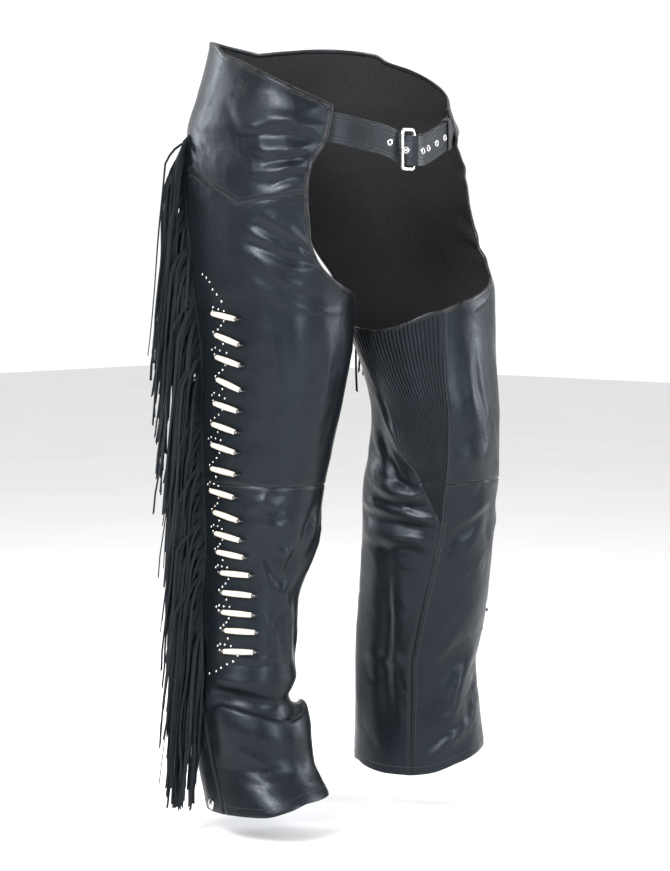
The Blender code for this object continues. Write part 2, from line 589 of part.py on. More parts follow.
def build_panels(side):
    """Add a side's yoke, thigh, shin, leg back and stretch panel."""
    inner_hem = (170.5, float(np.interp(170.5, *np.array(HEM[side]).T)))
    outer_hem = (-3.0, HEM[side][0][1])
    front_seam = nodes(YOKE_SEAM[2:] + [SCOOP[side][0]], 12)
    back_seam = nodes(YOKE_SEAM[:3], 2)
    knee = nodes(KNEE_SEAM, 12)
    thigh_side = nodes(side_seam(0.476, 0.893), 10)
    stretch_front = nodes([STRETCH_TOP[side][0]] + STRETCH_FRONT[:5], 6)
    stretch_tip = nodes(STRETCH_FRONT[4:], 4)
    stretch_back_line = [STRETCH_TOP[side][-1]] + STRETCH_BACK
    stretch_back = nodes(stretch_back_line, (0.30, 2), (1.0, 8))
    tip = ((STRETCH_FRONT[-1][0] + STRETCH_BACK[-1][0]) / 2, STRETCH_FRONT[-1][1] - 0.001)
    below_tip = [tip] + INSEAM + [inner_hem]
    outer_edge = side_seam(outer_hem[1], 0.476)
    if side == "right":  # its rows crowd at the tucked ankle
        inseam = nodes(below_tip, (0.17, 3), (0.49, 5), (0.88, 12), (1.0, 1))
        outer_nodes = nodes(outer_edge, (0.26, 7), (0.55, 5), (0.87, 12), (1.0, 1))
    else:
        inseam = nodes(below_tip, (0.20, 4), (1.0, 13))
        outer_nodes = nodes(outer_edge, (0.26, 7), (1.0, 14))
    turned = np.array([-360.0, 0.0])

    yoke = patch(
        nodes(YOKE_TOP, (0.25, 3), (0.46, 2), (1.0, 12)),
        join(nodes(YOKE_BACK + YOKE_SEAM[:1], 3), back_seam, front_seam),
        nodes([YOKE_TOP[0], YOKE_BACK[0]], 9),
        nodes(YOKE_FRONT[side], 9),
    )
    panel(f"yoke_{side}", side, yoke, ("left", "bottom"))
    thigh = patch(front_seam, knee, thigh_side, join(nodes(SCOOP[side], 4), stretch_front))
    panel(f"thigh_front_{side}", side, thigh, ("top", "bottom", "left", "right"))

    shin = patch(
        knee,
        nodes([outer_hem] + [p for p in HEM[side] if 0 < p[0] < 170] + [inner_hem], 12),
        outer_nodes,
        join(stretch_tip, inseam),
    )
    panel(f"shin_front_{side}", side, shin, ("top", "left", "right"))
    round_the_back = [p for p in HEM[side] if 171 < p[0] < 356]
    back = patch(
        join(nodes(SEAT, 7), back_seam),
        nodes([inner_hem, *round_the_back, (357.0, outer_hem[1])], 9) + turned,
        join(nodes(stretch_back_line, (0.30, 6), (1.0, 8)), inseam) + turned,
        join(thigh_side, outer_nodes),
    )
    panel(f"leg_back_{side}", side, back, ("top", "left", "right"))
    seam = np.array([math.degrees(SEAM / 0.085), 0.0])
    left, right = join(stretch_front, stretch_tip) + seam, stretch_back - seam
    stretch = patch(
        nodes([left[0], *STRETCH_TOP[side][1:-1], right[0]], 2 * RIBS),
        nodes([left[-1], right[-1]], 2 * RIBS),
        left,
        right,
    )
    phi, h = stretch[..., 0], stretch[..., 1]
    base, normal = place(side, phi, h), facing(side, phi, h)
    pitch = np.linalg.norm(np.gradient(base, axis=1), axis=-1)
    raised = np.zeros(phi.shape)
    raised[:-1, 1::2] = np.minimum(RIB_HEIGHT, 0.5 * pitch[:-1, 1::2])
    inner = (base - normal * WALL)[:, ::6]
    ribbed_slab(f"stretch_panel_{side}", base + normal * raised[..., None], inner, 6)


def seam_frame(side, h):
    """Place, outward and forward directions of the side seam at each height above the floor, both level."""
    table = np.array(SIDE_SEAM[::-1])
    phi = pchip(table[:, 0], table[:, 1:], h)[..., 0]
    base = place(side, phi, h)
    out = facing(side, phi, h)
    out[..., 2] = 0
    out /= np.linalg.norm(out, axis=-1, keepdims=True)
    fore = np.stack([out[..., 1], -out[..., 0], np.zeros_like(out[..., 0])], -1) * SIGN[side]
    return base, out, fore


def hanging_strands(side):
    """Root height, length and hanging line of each strand, lowest first.

    Below its bend every strand leans out alike, so two that share a lateral lane stay apart when the upper
    one's line lies a strand's width further out.
    """
    rng = np.random.default_rng(7 if side == "right" else 11)
    edges = np.linspace(FRINGE_LOW, FRINGE_TOP, STRANDS + 1)
    roots = (edges[1:] + edges[:-1]) / 2
    base, out, _ = seam_frame(side, roots)
    out = out.mean(0) / np.linalg.norm(out.mean(0))
    fore = np.array([out[1], -out[0], 0.0]) * SIGN[side]
    strands = []
    for k, root_h in enumerate(roots):
        lane = LANES[k % len(LANES)] - (len(LANES) - 1) / 2
        across = float(base[k] @ fore) + lane * LANE_WIDTH
        line = float(base[k] @ out) + STRAND_REACH + STRAND_LEAN * (root_h - STRAND_BEND)
        length = min(rng.uniform(*STRAND_LONG), root_h - rng.uniform(*STRAND_CLEAR))
        for other in strands:
            if abs(across - other["across"]) < STRAND_APART and root_h - length < other["root"]:
                line = max(line, other["line"] + STRAND_APART)
        twist = rng.choice([-1, 1]) * rng.uniform(0.3, 1.2)
        strands.append(dict(root=root_h, length=length, across=across, line=line, twist=twist))
    return strands, base, out, fore


def strand_section(strand, i, course, out, fore):
    """Half width and half thickness directions of a strand at the i-th place of its path."""
    across = fore - course * np.dot(fore, course)
    across /= np.linalg.norm(across)
    flat = np.cross(across, course)
    if np.dot(flat, out) < 0:
        flat = -flat
    turn = strand["twist"] * (0.0, 0.3, 1.0)[i]
    wide = flat * math.cos(turn) + across * math.sin(turn)
    thin = -flat * math.sin(turn) + across * math.cos(turn)
    return wide * STRAND_WIDE / 2 * (0.62, 0.88, 0.92)[i], thin * STRAND_THICK / 2


def build_fringe(side):
    """Add a side's fringe: one solid of a sewn strip and the strands that are cut from it."""
    strands, roots, out, fore = hanging_strands(side)
    edges_h = np.linspace(FRINGE_LOW, FRINGE_TOP, STRANDS + 1)
    table = np.array(SIDE_SEAM[::-1])
    phi = pchip(table[:, 0], table[:, 1:], edges_h)[..., 0]
    base, normal = place(side, phi, edges_h), facing(side, phi, edges_h)
    _, _, ahead = seam_frame(side, edges_h)
    points, faces = [], []
    for off, forward in STRIP:
        points += list(base + normal * off + ahead * forward)
    n = STRANDS + 1
    for k in range(STRANDS):
        for c in (1, 2, 3):
            d = (c + 1) % 4
            faces.append((c * n + k + 1, c * n + k, d * n + k, d * n + k + 1))
    faces += [(3 * n, 2 * n, n, 0), (STRANDS, n + STRANDS, 2 * n + STRANDS, 3 * n + STRANDS)]
    down = np.array([0, 0, -1.0])
    for k, strand in enumerate(strands):
        bend_h, tip_h = strand["root"] - STRAND_BEND, strand["root"] - strand["length"]
        path = [roots[k] + out * 0.0085 + down * 0.004]
        for h in (bend_h, tip_h):
            level_place = out * (strand["line"] - STRAND_LEAN * h) + fore * strand["across"]
            path.append(level_place + np.array([0, 0, h - WAIST_H]))
        ring = [k + 1, k, n + k, n + k + 1]
        for i, point in enumerate(path):
            course = out * 0.70 + down * 0.71 if i == 0 else path[2] - path[1]
            course = course / np.linalg.norm(course)
            w, t = strand_section(strand, i, course, out, fore)
            start = len(points)
            points += [point + w - t, point - w - t, point - w + t, point + w + t]
            new = [start, start + 1, start + 2, start + 3]
            for c in range(4):
                d = (c + 1) % 4
                faces.append((ring[c], ring[d], new[d], new[c]))
            ring = new
        faces.append(tuple(ring))
    return add_closed(f"fringe_{side}", points, faces)


def tube(points, section, closed=False):
    """Faces of a tube over rings of points already laid out ring by ring."""
    rings = len(points) // section
    faces = []
    for i in range(rings if closed else rings - 1):
        j = (i + 1) % rings
        for k in range(section):
            m = (k + 1) % section
            faces.append((i * section + k, i * section + m, j * section + m, j * section + k))
    if not closed:
        faces += [tuple(range(section))[::-1], tuple((rings - 1) * section + k for k in range(section))]
    return faces


def bead_axis(side, number, row):
    """Ends of a bead's middle line, lifted until its whole length is clear of the panel."""
    p0, h0, p1, h1 = row
    ts = np.linspace(0, 1, 13)
    under = place(side, p0 + (p1 - p0) * ts, h0 + (h1 - h0) * ts)
    normal = facing(side, (p0 + p1) / 2, (h0 + h1) / 2)
    chord = under[-1] - under[0]
    chord -= normal * np.dot(chord, normal)
    middle = (under[0] + under[-1]) / 2
    half = chord / np.linalg.norm(chord) * min(np.linalg.norm(chord), BEAD_LONGEST) / 2
    start, end = middle - half, middle + half
    radius = np.interp(ts, [t for t, _ in BEAD_RINGS], [r for _, r in BEAD_RINGS])
    line = start + (end - start) * ts[:, None]
    lift = 0.0
    for off_axis in np.linspace(-0.9, 0.9, 7):
        sample = place(side, p0 + (p1 - p0) * ts, h0 + (h1 - h0) * ts + off_axis * radius)
        need = ((sample - line) @ normal) + radius * math.sqrt(1 - off_axis**2)
        lift = max(lift, float(need.max()))
    lift += CLEAR - BEAD_SETTLED.get((side, number), 0.0)
    return start + normal * lift, end + normal * lift, normal


def build_beads(side):
    """Add a side's beads, fuller in the middle."""
    for number, row in enumerate(BEADS, 1):
        start, end, normal = bead_axis(side, number, row)
        axis = (end - start) / np.linalg.norm(end - start)
        other = np.cross(axis, normal)
        points = []
        for share, radius in BEAD_RINGS:
            for k in range(BEAD_SIDES):
                angle = 2 * math.pi * k / BEAD_SIDES
                away = normal * math.cos(angle) + other * math.sin(angle)
                points.append(start + (end - start) * share + away * radius)
        add_closed(f"bead_{side}_{number:02d}", points, tube(points, BEAD_SIDES))


def build_snap(side):
    """Add the snap's cap near the hem, lifted clear of the leather all round its rim."""
    phi, h = SNAP_ANGLE, SNAP_LEVEL[side]
    rim = max(radius for _, radius in SNAP_RINGS)
    centre, normal = place(side, phi, h), facing(side, phi, h)
    up = np.array([0, 0, 1.0]) - normal * normal[2]
    up /= np.linalg.norm(up)
    across = np.cross(up, normal)
    lift = 0.0
    for angle in np.arange(24) * math.pi / 12:
        probe = place(side, phi + math.degrees(math.cos(angle) * rim / 0.08), h + math.sin(angle) * rim)
        lift = max(lift, float((probe - centre) @ normal))
    points = []
    for off, radius in SNAP_RINGS:
        for k in range(SNAP_SIDES):
            angle = 2 * math.pi * k / SNAP_SIDES
            away = across * math.cos(angle) + up * math.sin(angle)
            points.append(centre + normal * (lift + CLEAR + off) + away * radius)
    add_closed(f"snap_{side}", points, tube(points, SNAP_SIDES))


def hip_point(psi, h, off):
    """Point round the front of the hips: 0 the right side, 90 the front, 180 the left side."""
    psi, h = np.asarray(psi, float), np.asarray(h, float)
    _, _, a, b, _, n, _ = section_rows("right", np.maximum(h, 0.945))
    c, s = np.cos(np.radians(psi)), np.sin(np.radians(psi))
    r = (np.abs(c / a) ** n + np.abs(s / b) ** n) ** (-1 / n) + off
    return np.stack([-r * c, -r * s, h - WAIST_H], -1)


def level(psi):
    """Height above the floor of the belt's middle line."""
    return pchip([p for p, _ in BELT_LEVEL], np.array(BELT_LEVEL)[:, 1:], psi)[..., 0]


def across_belt(psis):
    """Unit direction up across the belt at each angle."""
    psis = np.asarray(psis, float)
    course = hip_point(psis + 0.8, level(psis + 0.8), 0.0) - hip_point(psis - 0.8, level(psis - 0.8), 0.0)
    outward = hip_point(psis, level(psis), 0.01) - hip_point(psis, level(psis), 0.0)
    up = np.cross(outward, course)
    up *= np.sign(up[..., 2:3])
    return up / np.linalg.norm(up, axis=-1, keepdims=True)


def strap_grid(middle, up, widths):
    """Outer and inner points of a strap: a column per place along it, a row per place across it."""
    course = np.gradient(middle, axis=0)
    normal = np.cross(course, up)
    normal /= np.linalg.norm(normal, axis=1, keepdims=True)
    if normal[0] @ middle[0] < 0:
        normal = -normal
    grid = middle[None] + up[None] * widths[..., None]
    half = normal[None] * BELT_THICK / 2
    return grid + half, grid - half, normal


def build_belt_right():
    """Add the strap with the eyelet holes; its end comes to a point."""
    psis = [24, 33, 42, 48, 57, 66]
    for e in EYELETS:
        psis += [e - 1.9, e + 1.9]
    psis += [84.6, 93.8, 95.6, 97.4, 103.4, 111.6, 119.6, 129.6, 135.6]
    psis = np.array(sorted(set(psis)))
    offs = np.interp(psis, [p for p, _ in OVER], [o for _, o in OVER])
    rows = np.array([1.0, 0.16, -0.16, -1.0])[:, None] * BELT_WIDE / 2
    widths = rows * np.interp(psis, [129.6, 135.6], [1.0, 0.06])[None]
    middle = hip_point(psis, level(psis), offs)
    outer, inner, normal = strap_grid(middle, across_belt(psis), widths)
    holes = {}
    for e in EYELETS:
        j = int(np.argmin(np.abs(psis - (e - 1.9))))
        centre = (middle[j] + middle[j + 1]) / 2
        n = (normal[j] + normal[j + 1]) / 2
        n /= np.linalg.norm(n)
        course = middle[j + 1] - middle[j]
        course /= np.linalg.norm(course)
        upward = np.cross(n, course)
        turns = np.arange(8) * math.pi / 4 + math.pi / 8
        ring = [centre + (course * math.cos(t) + upward * math.sin(t)) * EYELET_HOLE for t in turns]
        holes[(1, j)] = ([p + n * BELT_THICK / 2 for p in ring], [p - n * BELT_THICK / 2 for p in ring])
        a, b, d = outer[1, j], outer[1, j + 1], outer[2, j]
        turning = np.dot(np.cross(b - a, d - a), n)
        order = np.dot(np.cross(ring[1] - ring[0], ring[2] - ring[0]), n)
        if turning * order < 0:
            holes[(1, j)] = (holes[(1, j)][0][::-1], holes[(1, j)][1][::-1])
    return slab("belt_strap_right", outer, inner, holes=holes)


def build_belt_left():
    """The strap that holds the buckle: its end turns round the heel bar, slotted for the prong."""
    psis = [156, 148, 140, 136.5, 133, 129.2, 125.6, 120, 115, 110, 105, 101.4, 99.8, 97.8]
    offs = list(np.interp(psis, [p for p, _ in UNDER], [o for _, o in UNDER]))
    first = len(psis) - 2
    reach = BUCKLE_ROD + CLEAR + 0.0008 + BELT_THICK / 2
    turns = np.radians([5, 40, 75, 110, 145, 180, 212])
    loop = [(HEEL[0] - math.sin(t) * reach / HIP_METRE, HEEL[1] + math.cos(t) * reach) for t in turns]
    inside = [(99.8, -0.0056), (102, -0.0068), (105, -0.0078), (109, -0.0084)]
    psis += [p for p, _ in loop + inside]
    offs += [o for _, o in loop + inside]
    psis, offs = np.array(psis), np.array(offs)
    middle = hip_point(psis, level(psis), offs)
    rows = np.array([1.0, 0.14, -0.14, -1.0])[:, None] * BELT_WIDE / 2
    outer, inner, _ = strap_grid(middle, across_belt(psis), np.broadcast_to(rows, (4, len(psis))))
    missing = [(1, j) for j in range(first, first + len(loop) + 2)]
    return slab("belt_strap_left", outer, inner, missing=missing)


def build_buckle():
    """Add the buckle's frame: a round rod bent into a rectangle with round corners."""
    heel = hip_point(HEEL[0], level(HEEL[0]), HEEL[1])
    outer = hip_point(OUTER_BAR[0], level(OUTER_BAR[0]), OUTER_BAR[1])
    across = heel - outer
    across[2] = 0
    width = np.linalg.norm(across)
    across /= width
    up = np.array([0.0, 0.0, 1.0])
    face = np.cross(across, up)
    centre = (heel + outer) / 2
    points, sides = [], 6
    for cx, cz, first in ((1, 1, 90), (1, -1, 0), (-1, -1, -90), (-1, 1, -180)):
        for step in (0, 45, 90):
            angle = math.radians(first - step)
            x = cx * (width / 2 - BUCKLE_CORNER) + math.cos(angle) * BUCKLE_CORNER
            z = cz * (BUCKLE_HIGH / 2 - BUCKLE_CORNER) + math.sin(angle) * BUCKLE_CORNER
            outward = across * math.cos(angle) + up * math.sin(angle)
            for k in range(sides):
                a = 2 * math.pi * (k + 0.5) / sides
                away = outward * math.cos(a) + face * math.sin(a)
                points.append(centre + across * x + up * z + away * BUCKLE_ROD)
    add_closed("belt_buckle_frame", points, tube(points, sides, closed=True))


def build_prong():
    """Add the prong: it turns on the heel bar, comes up through an eyelet and rests on the outer bar."""
    sides = 6
    ring = BUCKLE_ROD + CLEAR + PRONG_ROD
    path = []
    for t in np.radians((15, 75, 135, 195, 255)):
        path.append((HEEL[0] + math.sin(t) * ring / HIP_METRE, HEEL[1] + math.cos(t) * ring))
    on_bar = OUTER_BAR[1] + BUCKLE_ROD
    path += [(93.6, -0.0056), (91.2, -0.0046), (90.4, -0.0030), (89.6, 0.0020), (88.9, 0.0044)]
    path += [(86.6, on_bar + CLEAR + PRONG_ROD + 0.0001), (85.4, on_bar + 0.0013)]
    psis, offs = np.array([p for p, _ in path]), np.array([o for _, o in path])
    middle = hip_point(psis, np.full(len(psis), level(90.0)), offs)
    course = np.gradient(middle, axis=0)
    course /= np.linalg.norm(course, axis=1, keepdims=True)
    points = []
    for m, c in zip(middle, course):
        upright = np.array([0, 0, 1.0])
        other = np.cross(c, upright)
        other /= np.linalg.norm(other)
        for k in range(sides):
            angle = 2 * math.pi * k / sides
            points.append(m + (upright * math.cos(angle) + other * math.sin(angle)) * PRONG_ROD)
    add_closed("belt_prong", points, tube(points, sides))


def build_keeper():
    """Add the leather loop round both straps."""
    psis = np.array(KEEPER)
    wall = KEEPER_WALL
    stand_off = BELT_THICK / 2 + CLEAR + 0.0004
    over = np.interp(psis, *np.array(OVER).T) + stand_off
    under = np.interp(psis, *np.array(UNDER).T) - stand_off
    half = BELT_WIDE / 2 + 0.0008
    points = []
    for psi, o, u, up in zip(psis, over, under, across_belt(psis)):
        h = float(level(psi))
        for grow in (0.0, wall):
            high = half + grow
            for off, dz in ((o + grow, high), (o + grow, -high), (u - grow, -high), (u - grow, high)):
                points.append(hip_point(psi, h, off) + up * dz)
    faces = []
    for k in range(4):
        m = (k + 1) % 4
        faces += [(k, m, 8 + m, 8 + k), (4 + k, 12 + k, 12 + m, 4 + m)]
        faces += [(k, 4 + k, 4 + m, m), (8 + k, 8 + m, 12 + m, 12 + k)]
    add_closed("belt_keeper", points, faces)


def main():
    """Build every piece, each side's first and then the belt."""
    for item in list(bpy.data.objects):
        bpy.data.objects.remove(item, do_unlink=True)
    for side in SIDES:
        build_panels(side)
        build_fringe(side)
        build_beads(side)
        build_snap(side)
    build_belt_right()
    build_belt_left()
    build_buckle()
    build_prong()
    build_keeper()


main()
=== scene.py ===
"""The looks of a pair of fringed leather chaps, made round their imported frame.

Lengths are in metres in the frame's own axes: +Z up, the front toward -Y, the wearer's right leg toward -X, the
origin at the middle of the waist. A place on a leg is an angle in degrees (0 outer side, 90 front, 180 inner
side, -90 back) and a height above the floor. Every leather piece follows one outer form for its side: a row of
rounded sections, with folds added as soft ridges and troughs.
"""

from __future__ import annotations

import logging
import math
from dataclasses import dataclass, field
from enum import Enum
from typing import Sequence

import bpy
import numpy as np
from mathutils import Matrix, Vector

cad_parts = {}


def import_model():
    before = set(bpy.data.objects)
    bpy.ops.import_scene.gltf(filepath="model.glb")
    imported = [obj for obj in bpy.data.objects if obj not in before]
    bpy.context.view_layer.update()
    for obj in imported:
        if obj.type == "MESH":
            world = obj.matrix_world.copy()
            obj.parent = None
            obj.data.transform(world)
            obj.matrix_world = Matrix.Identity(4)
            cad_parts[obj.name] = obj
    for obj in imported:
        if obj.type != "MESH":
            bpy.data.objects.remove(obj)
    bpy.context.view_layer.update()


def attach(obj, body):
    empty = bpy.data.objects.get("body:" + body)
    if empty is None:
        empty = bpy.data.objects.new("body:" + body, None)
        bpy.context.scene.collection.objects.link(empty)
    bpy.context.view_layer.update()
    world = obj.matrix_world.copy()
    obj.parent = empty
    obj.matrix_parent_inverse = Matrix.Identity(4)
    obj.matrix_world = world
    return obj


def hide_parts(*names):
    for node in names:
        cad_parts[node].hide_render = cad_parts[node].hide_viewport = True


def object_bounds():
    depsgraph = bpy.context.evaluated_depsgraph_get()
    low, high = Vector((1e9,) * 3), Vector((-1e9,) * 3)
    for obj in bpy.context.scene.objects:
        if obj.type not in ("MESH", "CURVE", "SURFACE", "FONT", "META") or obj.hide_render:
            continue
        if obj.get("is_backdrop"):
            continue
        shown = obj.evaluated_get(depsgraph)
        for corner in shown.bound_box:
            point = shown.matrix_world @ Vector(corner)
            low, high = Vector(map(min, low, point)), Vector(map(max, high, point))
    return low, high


LOG = logging.getLogger("chaps")
Array = np.ndarray
Place = tuple[float, float]
FoldRow = tuple[float, float, Sequence[Place]]

WAIST_H = 0.950
WALL = 0.0016
SEAM = 0.0002
CLEAR = 0.0003
BODY = "root"
RUMPLES = ((0.00075, 0.075, 5), (0.00052, 0.030, 6), (0.00020, 0.013, 7))  # depth, size and seed


class Side(Enum):
    """One leg of the pair, by the wearer's own side."""

    RIGHT = "right"
    LEFT = "left"

    @property
    def sign(self) -> float:
        """Which way along X this side lies."""
        return -1.0 if self is Side.RIGHT else 1.0


class Slot(Enum):
    """The record's material slots."""

    PANEL = "panel_leather"
    STRETCH = "stretch_panel"
    FRINGE = "fringe_suede"
    BELT = "belt_leather"
    BONE = "bone_bead"
    NICKEL = "bright_nickel"


# height, centre across, centre fore and aft, half width, half depth front, half depth back, squareness, turn
HIPS = [
    (1.085, 0.000, 0.000, 0.163, 0.118, 0.118, 2.5, 0),
    (1.040, 0.000, 0.000, 0.172, 0.126, 0.128, 2.5, 0),
    (0.990, 0.000, 0.000, 0.184, 0.137, 0.140, 2.5, 0),
    (0.945, 0.000, 0.000, 0.196, 0.146, 0.152, 2.5, 0),
]
SECTIONS = {
    "right": HIPS
    + [
        (0.890, -0.004, 0.002, 0.196, 0.146, 0.156, 2.5, 0),
        (0.840, -0.020, 0.004, 0.180, 0.140, 0.152, 2.4, 0),
        (0.790, -0.052, 0.006, 0.147, 0.128, 0.138, 2.3, 0),
        (0.728, -0.097, 0.007, 0.101, 0.113, 0.116, 2.3, 0),
        (0.652, -0.098, 0.002, 0.095, 0.104, 0.104, 2.3, 0),
        (0.585, -0.102, 0.006, 0.089, 0.098, 0.098, 2.3, 0),
        (0.517, -0.108, 0.012, 0.082, 0.092, 0.092, 2.3, 0),
        (0.467, -0.112, 0.015, 0.077, 0.089, 0.089, 2.2, 1),
        (0.409, -0.117, 0.016, 0.073, 0.087, 0.087, 2.2, 2),
        (0.368, -0.121, 0.023, 0.070, 0.084, 0.084, 2.2, 3),
        (0.314, -0.131, 0.030, 0.066, 0.079, 0.080, 2.2, 3),
        (0.259, -0.135, 0.028, 0.065, 0.077, 0.079, 2.2, 3),
        (0.205, -0.139, 0.028, 0.063, 0.075, 0.078, 2.2, 3),
        (0.150, -0.143, 0.014, 0.065, 0.082, 0.080, 2.2, 3),
        (0.095, -0.145, -0.003, 0.068, 0.091, 0.082, 2.2, 3),
        (0.054, -0.147, -0.022, 0.072, 0.104, 0.084, 2.2, 3),
        (0.010, -0.148, -0.035, 0.075, 0.116, 0.086, 2.2, 3),
    ],
    "left": HIPS
    + [
        (0.890, 0.004, -0.010, 0.196, 0.148, 0.150, 2.5, 0),
        (0.840, 0.020, -0.026, 0.180, 0.142, 0.142, 2.4, 2),
        (0.790, 0.052, -0.050, 0.147, 0.128, 0.126, 2.3, 4),
        (0.728, 0.096, -0.078, 0.101, 0.110, 0.106, 2.3, 6),
        (0.673, 0.098, -0.090, 0.095, 0.100, 0.096, 2.3, 8),
        (0.617, 0.100, -0.104, 0.087, 0.090, 0.088, 2.3, 10),
        (0.563, 0.102, -0.113, 0.082, 0.086, 0.086, 2.3, 12),
        (0.505, 0.106, -0.107, 0.078, 0.090, 0.092, 2.3, 14),
        (0.459, 0.110, -0.098, 0.076, 0.094, 0.096, 2.2, 16),
        (0.407, 0.114, -0.091, 0.074, 0.092, 0.094, 2.2, 18),
        (0.350, 0.118, -0.084, 0.071, 0.090, 0.092, 2.2, 20),
        (0.294, 0.122, -0.076, 0.069, 0.089, 0.091, 2.2, 21),
        (0.237, 0.126, -0.063, 0.067, 0.086, 0.087, 2.2, 22),
        (0.209, 0.128, -0.058, 0.067, 0.083, 0.085, 2.2, 22),
        (0.152, 0.132, -0.057, 0.069, 0.087, 0.089, 2.2, 22),
        (0.110, 0.134, -0.056, 0.071, 0.091, 0.091, 2.2, 22),
        (0.060, 0.136, -0.056, 0.074, 0.096, 0.093, 2.2, 22),
        (0.010, 0.138, -0.056, 0.076, 0.100, 0.095, 2.2, 22),
    ],
}

# Large folds: width and height in millimetres (plus stands out), then places along the fold.
FOLDS = {
    "right": [
        (9, 3.6, [(42, 0.934), (28.5, 0.957), (14, 0.968)]),
        (8, -3.4, [(42, 0.925), (27, 0.939), (10, 0.935)]),
        (9, 3.2, [(40, 0.914), (27, 0.918), (15, 0.909)]),
        (8, -2.8, [(39, 0.904), (27, 0.906), (18, 0.898)]),
        (8, 3.0, [(38, 0.894), (28, 0.895), (20, 0.888)]),
        (7, -2.6, [(38, 0.885), (19, 0.875)]),
        (8, 2.6, [(38, 0.873), (25, 0.860)]),
        (16, 4.0, [(34, 0.975), (18, 0.992), (2, 0.996)]),
        (9, 4.4, [(54, 0.777), (37, 0.806), (22, 0.834)]),
        (7, -4.4, [(58, 0.771), (36, 0.797), (20, 0.820)]),
        (8, 4.2, [(62, 0.766), (41, 0.784), (16, 0.811)]),
        (7, -4.0, [(65, 0.763), (44, 0.773), (18, 0.797)]),
        (9, 3.0, [(68, 0.759), (46, 0.763), (16, 0.785)]),
        (10, 4.0, [(37, 0.446), (48, 0.453), (64, 0.444)]),
        (9, -7.0, [(50, 0.412), (61, 0.377), (73, 0.353), (83, 0.341)]),
        (9, -6.0, [(84, 0.382), (84.5, 0.358), (85.5, 0.342)]),
        (9, 6.0, [(74, 0.392), (77, 0.372)]),
        (8, 4.4, [(87, 0.333), (97, 0.304), (98, 0.264), (104, 0.236)]),
        (9, -3.4, [(106, 0.330), (116, 0.300), (116, 0.262), (120, 0.236)]),
        (10, 3.4, [(48, 0.422), (62, 0.420), (78, 0.424)]),
        (10, -4.0, [(106, 0.452), (95, 0.420), (92, 0.392)]),
        (12, 4.0, [(128, 0.420), (120, 0.380), (112, 0.350)]),
        (16, -3.5, [(50, 0.094), (84, 0.106)]),
        (12, 4.0, [(-70, 0.560), (-110, 0.520), (-150, 0.500)]),
        (11, -5.0, [(-65, 0.505), (-110, 0.478), (-160, 0.470)]),
        (12, 5.0, [(-60, 0.462), (-105, 0.440), (-165, 0.442)]),
        (11, -4.0, [(-60, 0.420), (-110, 0.405), (-160, 0.404)]),
        (14, -4.0, [(-60, 0.230), (-105, 0.214), (-150, 0.220)]),
        (14, 4.0, [(-60, 0.196), (-105, 0.182), (-150, 0.186)]),
    ],
    "left": [
        (9, 4.6, [(211, 0.584), (201, 0.548), (189, 0.519), (175, 0.499), (162, 0.487)]),
        (10, -7.5, [(214, 0.534), (206, 0.500), (195, 0.474), (181, 0.466)]),
        (13, -7.0, [(236, 0.530), (232, 0.508), (210, 0.492)]),
        (10, 7.0, [(222, 0.466), (197, 0.455), (173, 0.449), (160, 0.456)]),
        (9, -4.5, [(214, 0.444), (196, 0.436), (172, 0.434), (158, 0.434)]),
        (9, 5.0, [(238, 0.438), (196, 0.428), (168, 0.421), (149, 0.415)]),
        (10, -5.5, [(236, 0.424), (190, 0.412), (155, 0.405)]),
        (11, 3.6, [(236, 0.396), (210, 0.392), (178, 0.393), (156, 0.384)]),
        (9, -3.0, [(232, 0.380), (208, 0.374), (178, 0.376), (156, 0.362)]),
        (18, 4.0, [(136, 0.490), (118, 0.502), (100, 0.516)]),
        (12, -5.0, [(138, 0.382), (120, 0.412), (104, 0.433)]),
        (9, 5.5, [(130, 0.412), (116, 0.424), (98, 0.444)]),
        (10, -3.5, [(96, 0.424), (94, 0.384)]),
        (20, -6.0, [(154, 0.158), (131, 0.192), (118, 0.226), (104, 0.246)]),
        (10, 4.6, [(154, 0.074), (131, 0.106), (104, 0.134)]),
        (10, 5.0, [(132, 0.108), (126, 0.156), (113, 0.196), (98, 0.222)]),
        (10, -4.0, [(112, 0.118), (104, 0.160), (92, 0.186)]),
        (16, 4.5, [(250, 0.360), (244, 0.240), (238, 0.160), (240, 0.110)]),
        (16, -5.5, [(210, 0.376), (204, 0.276), (202, 0.190), (197, 0.130)]),
        (8, 2.6, [(222, 0.222), (188, 0.216), (170, 0.210)]),
        (9, 3.5, [(42, 0.934), (28, 0.955), (14, 0.966)]),
        (8, -3.2, [(42, 0.924), (27, 0.938), (10, 0.935)]),
        (8, 3.0, [(38, 0.898), (21, 0.896)]),
        (8, -2.6, [(38, 0.886), (22, 0.878)]),
        (9, 4.0, [(45, 0.795), (32, 0.812), (18, 0.832)]),
        (8, -3.8, [(50, 0.786), (34, 0.798), (16, 0.812)]),
        (9, 3.0, [(60, 0.770), (40, 0.780), (14, 0.792)]),
        (11, -4.5, [(20, 0.452), (45, 0.444), (70, 0.440)]),
        (12, 4.5, [(15, 0.428), (45, 0.414), (72, 0.410)]),
        (12, -4.0, [(16, 0.232), (34, 0.226), (56, 0.222)]),
        (12, 4.0, [(16, 0.204), (34, 0.198), (56, 0.192)]),
        (12, -4.0, [(-60, 0.470), (-90, 0.480), (-115, 0.500)]),
    ],
}

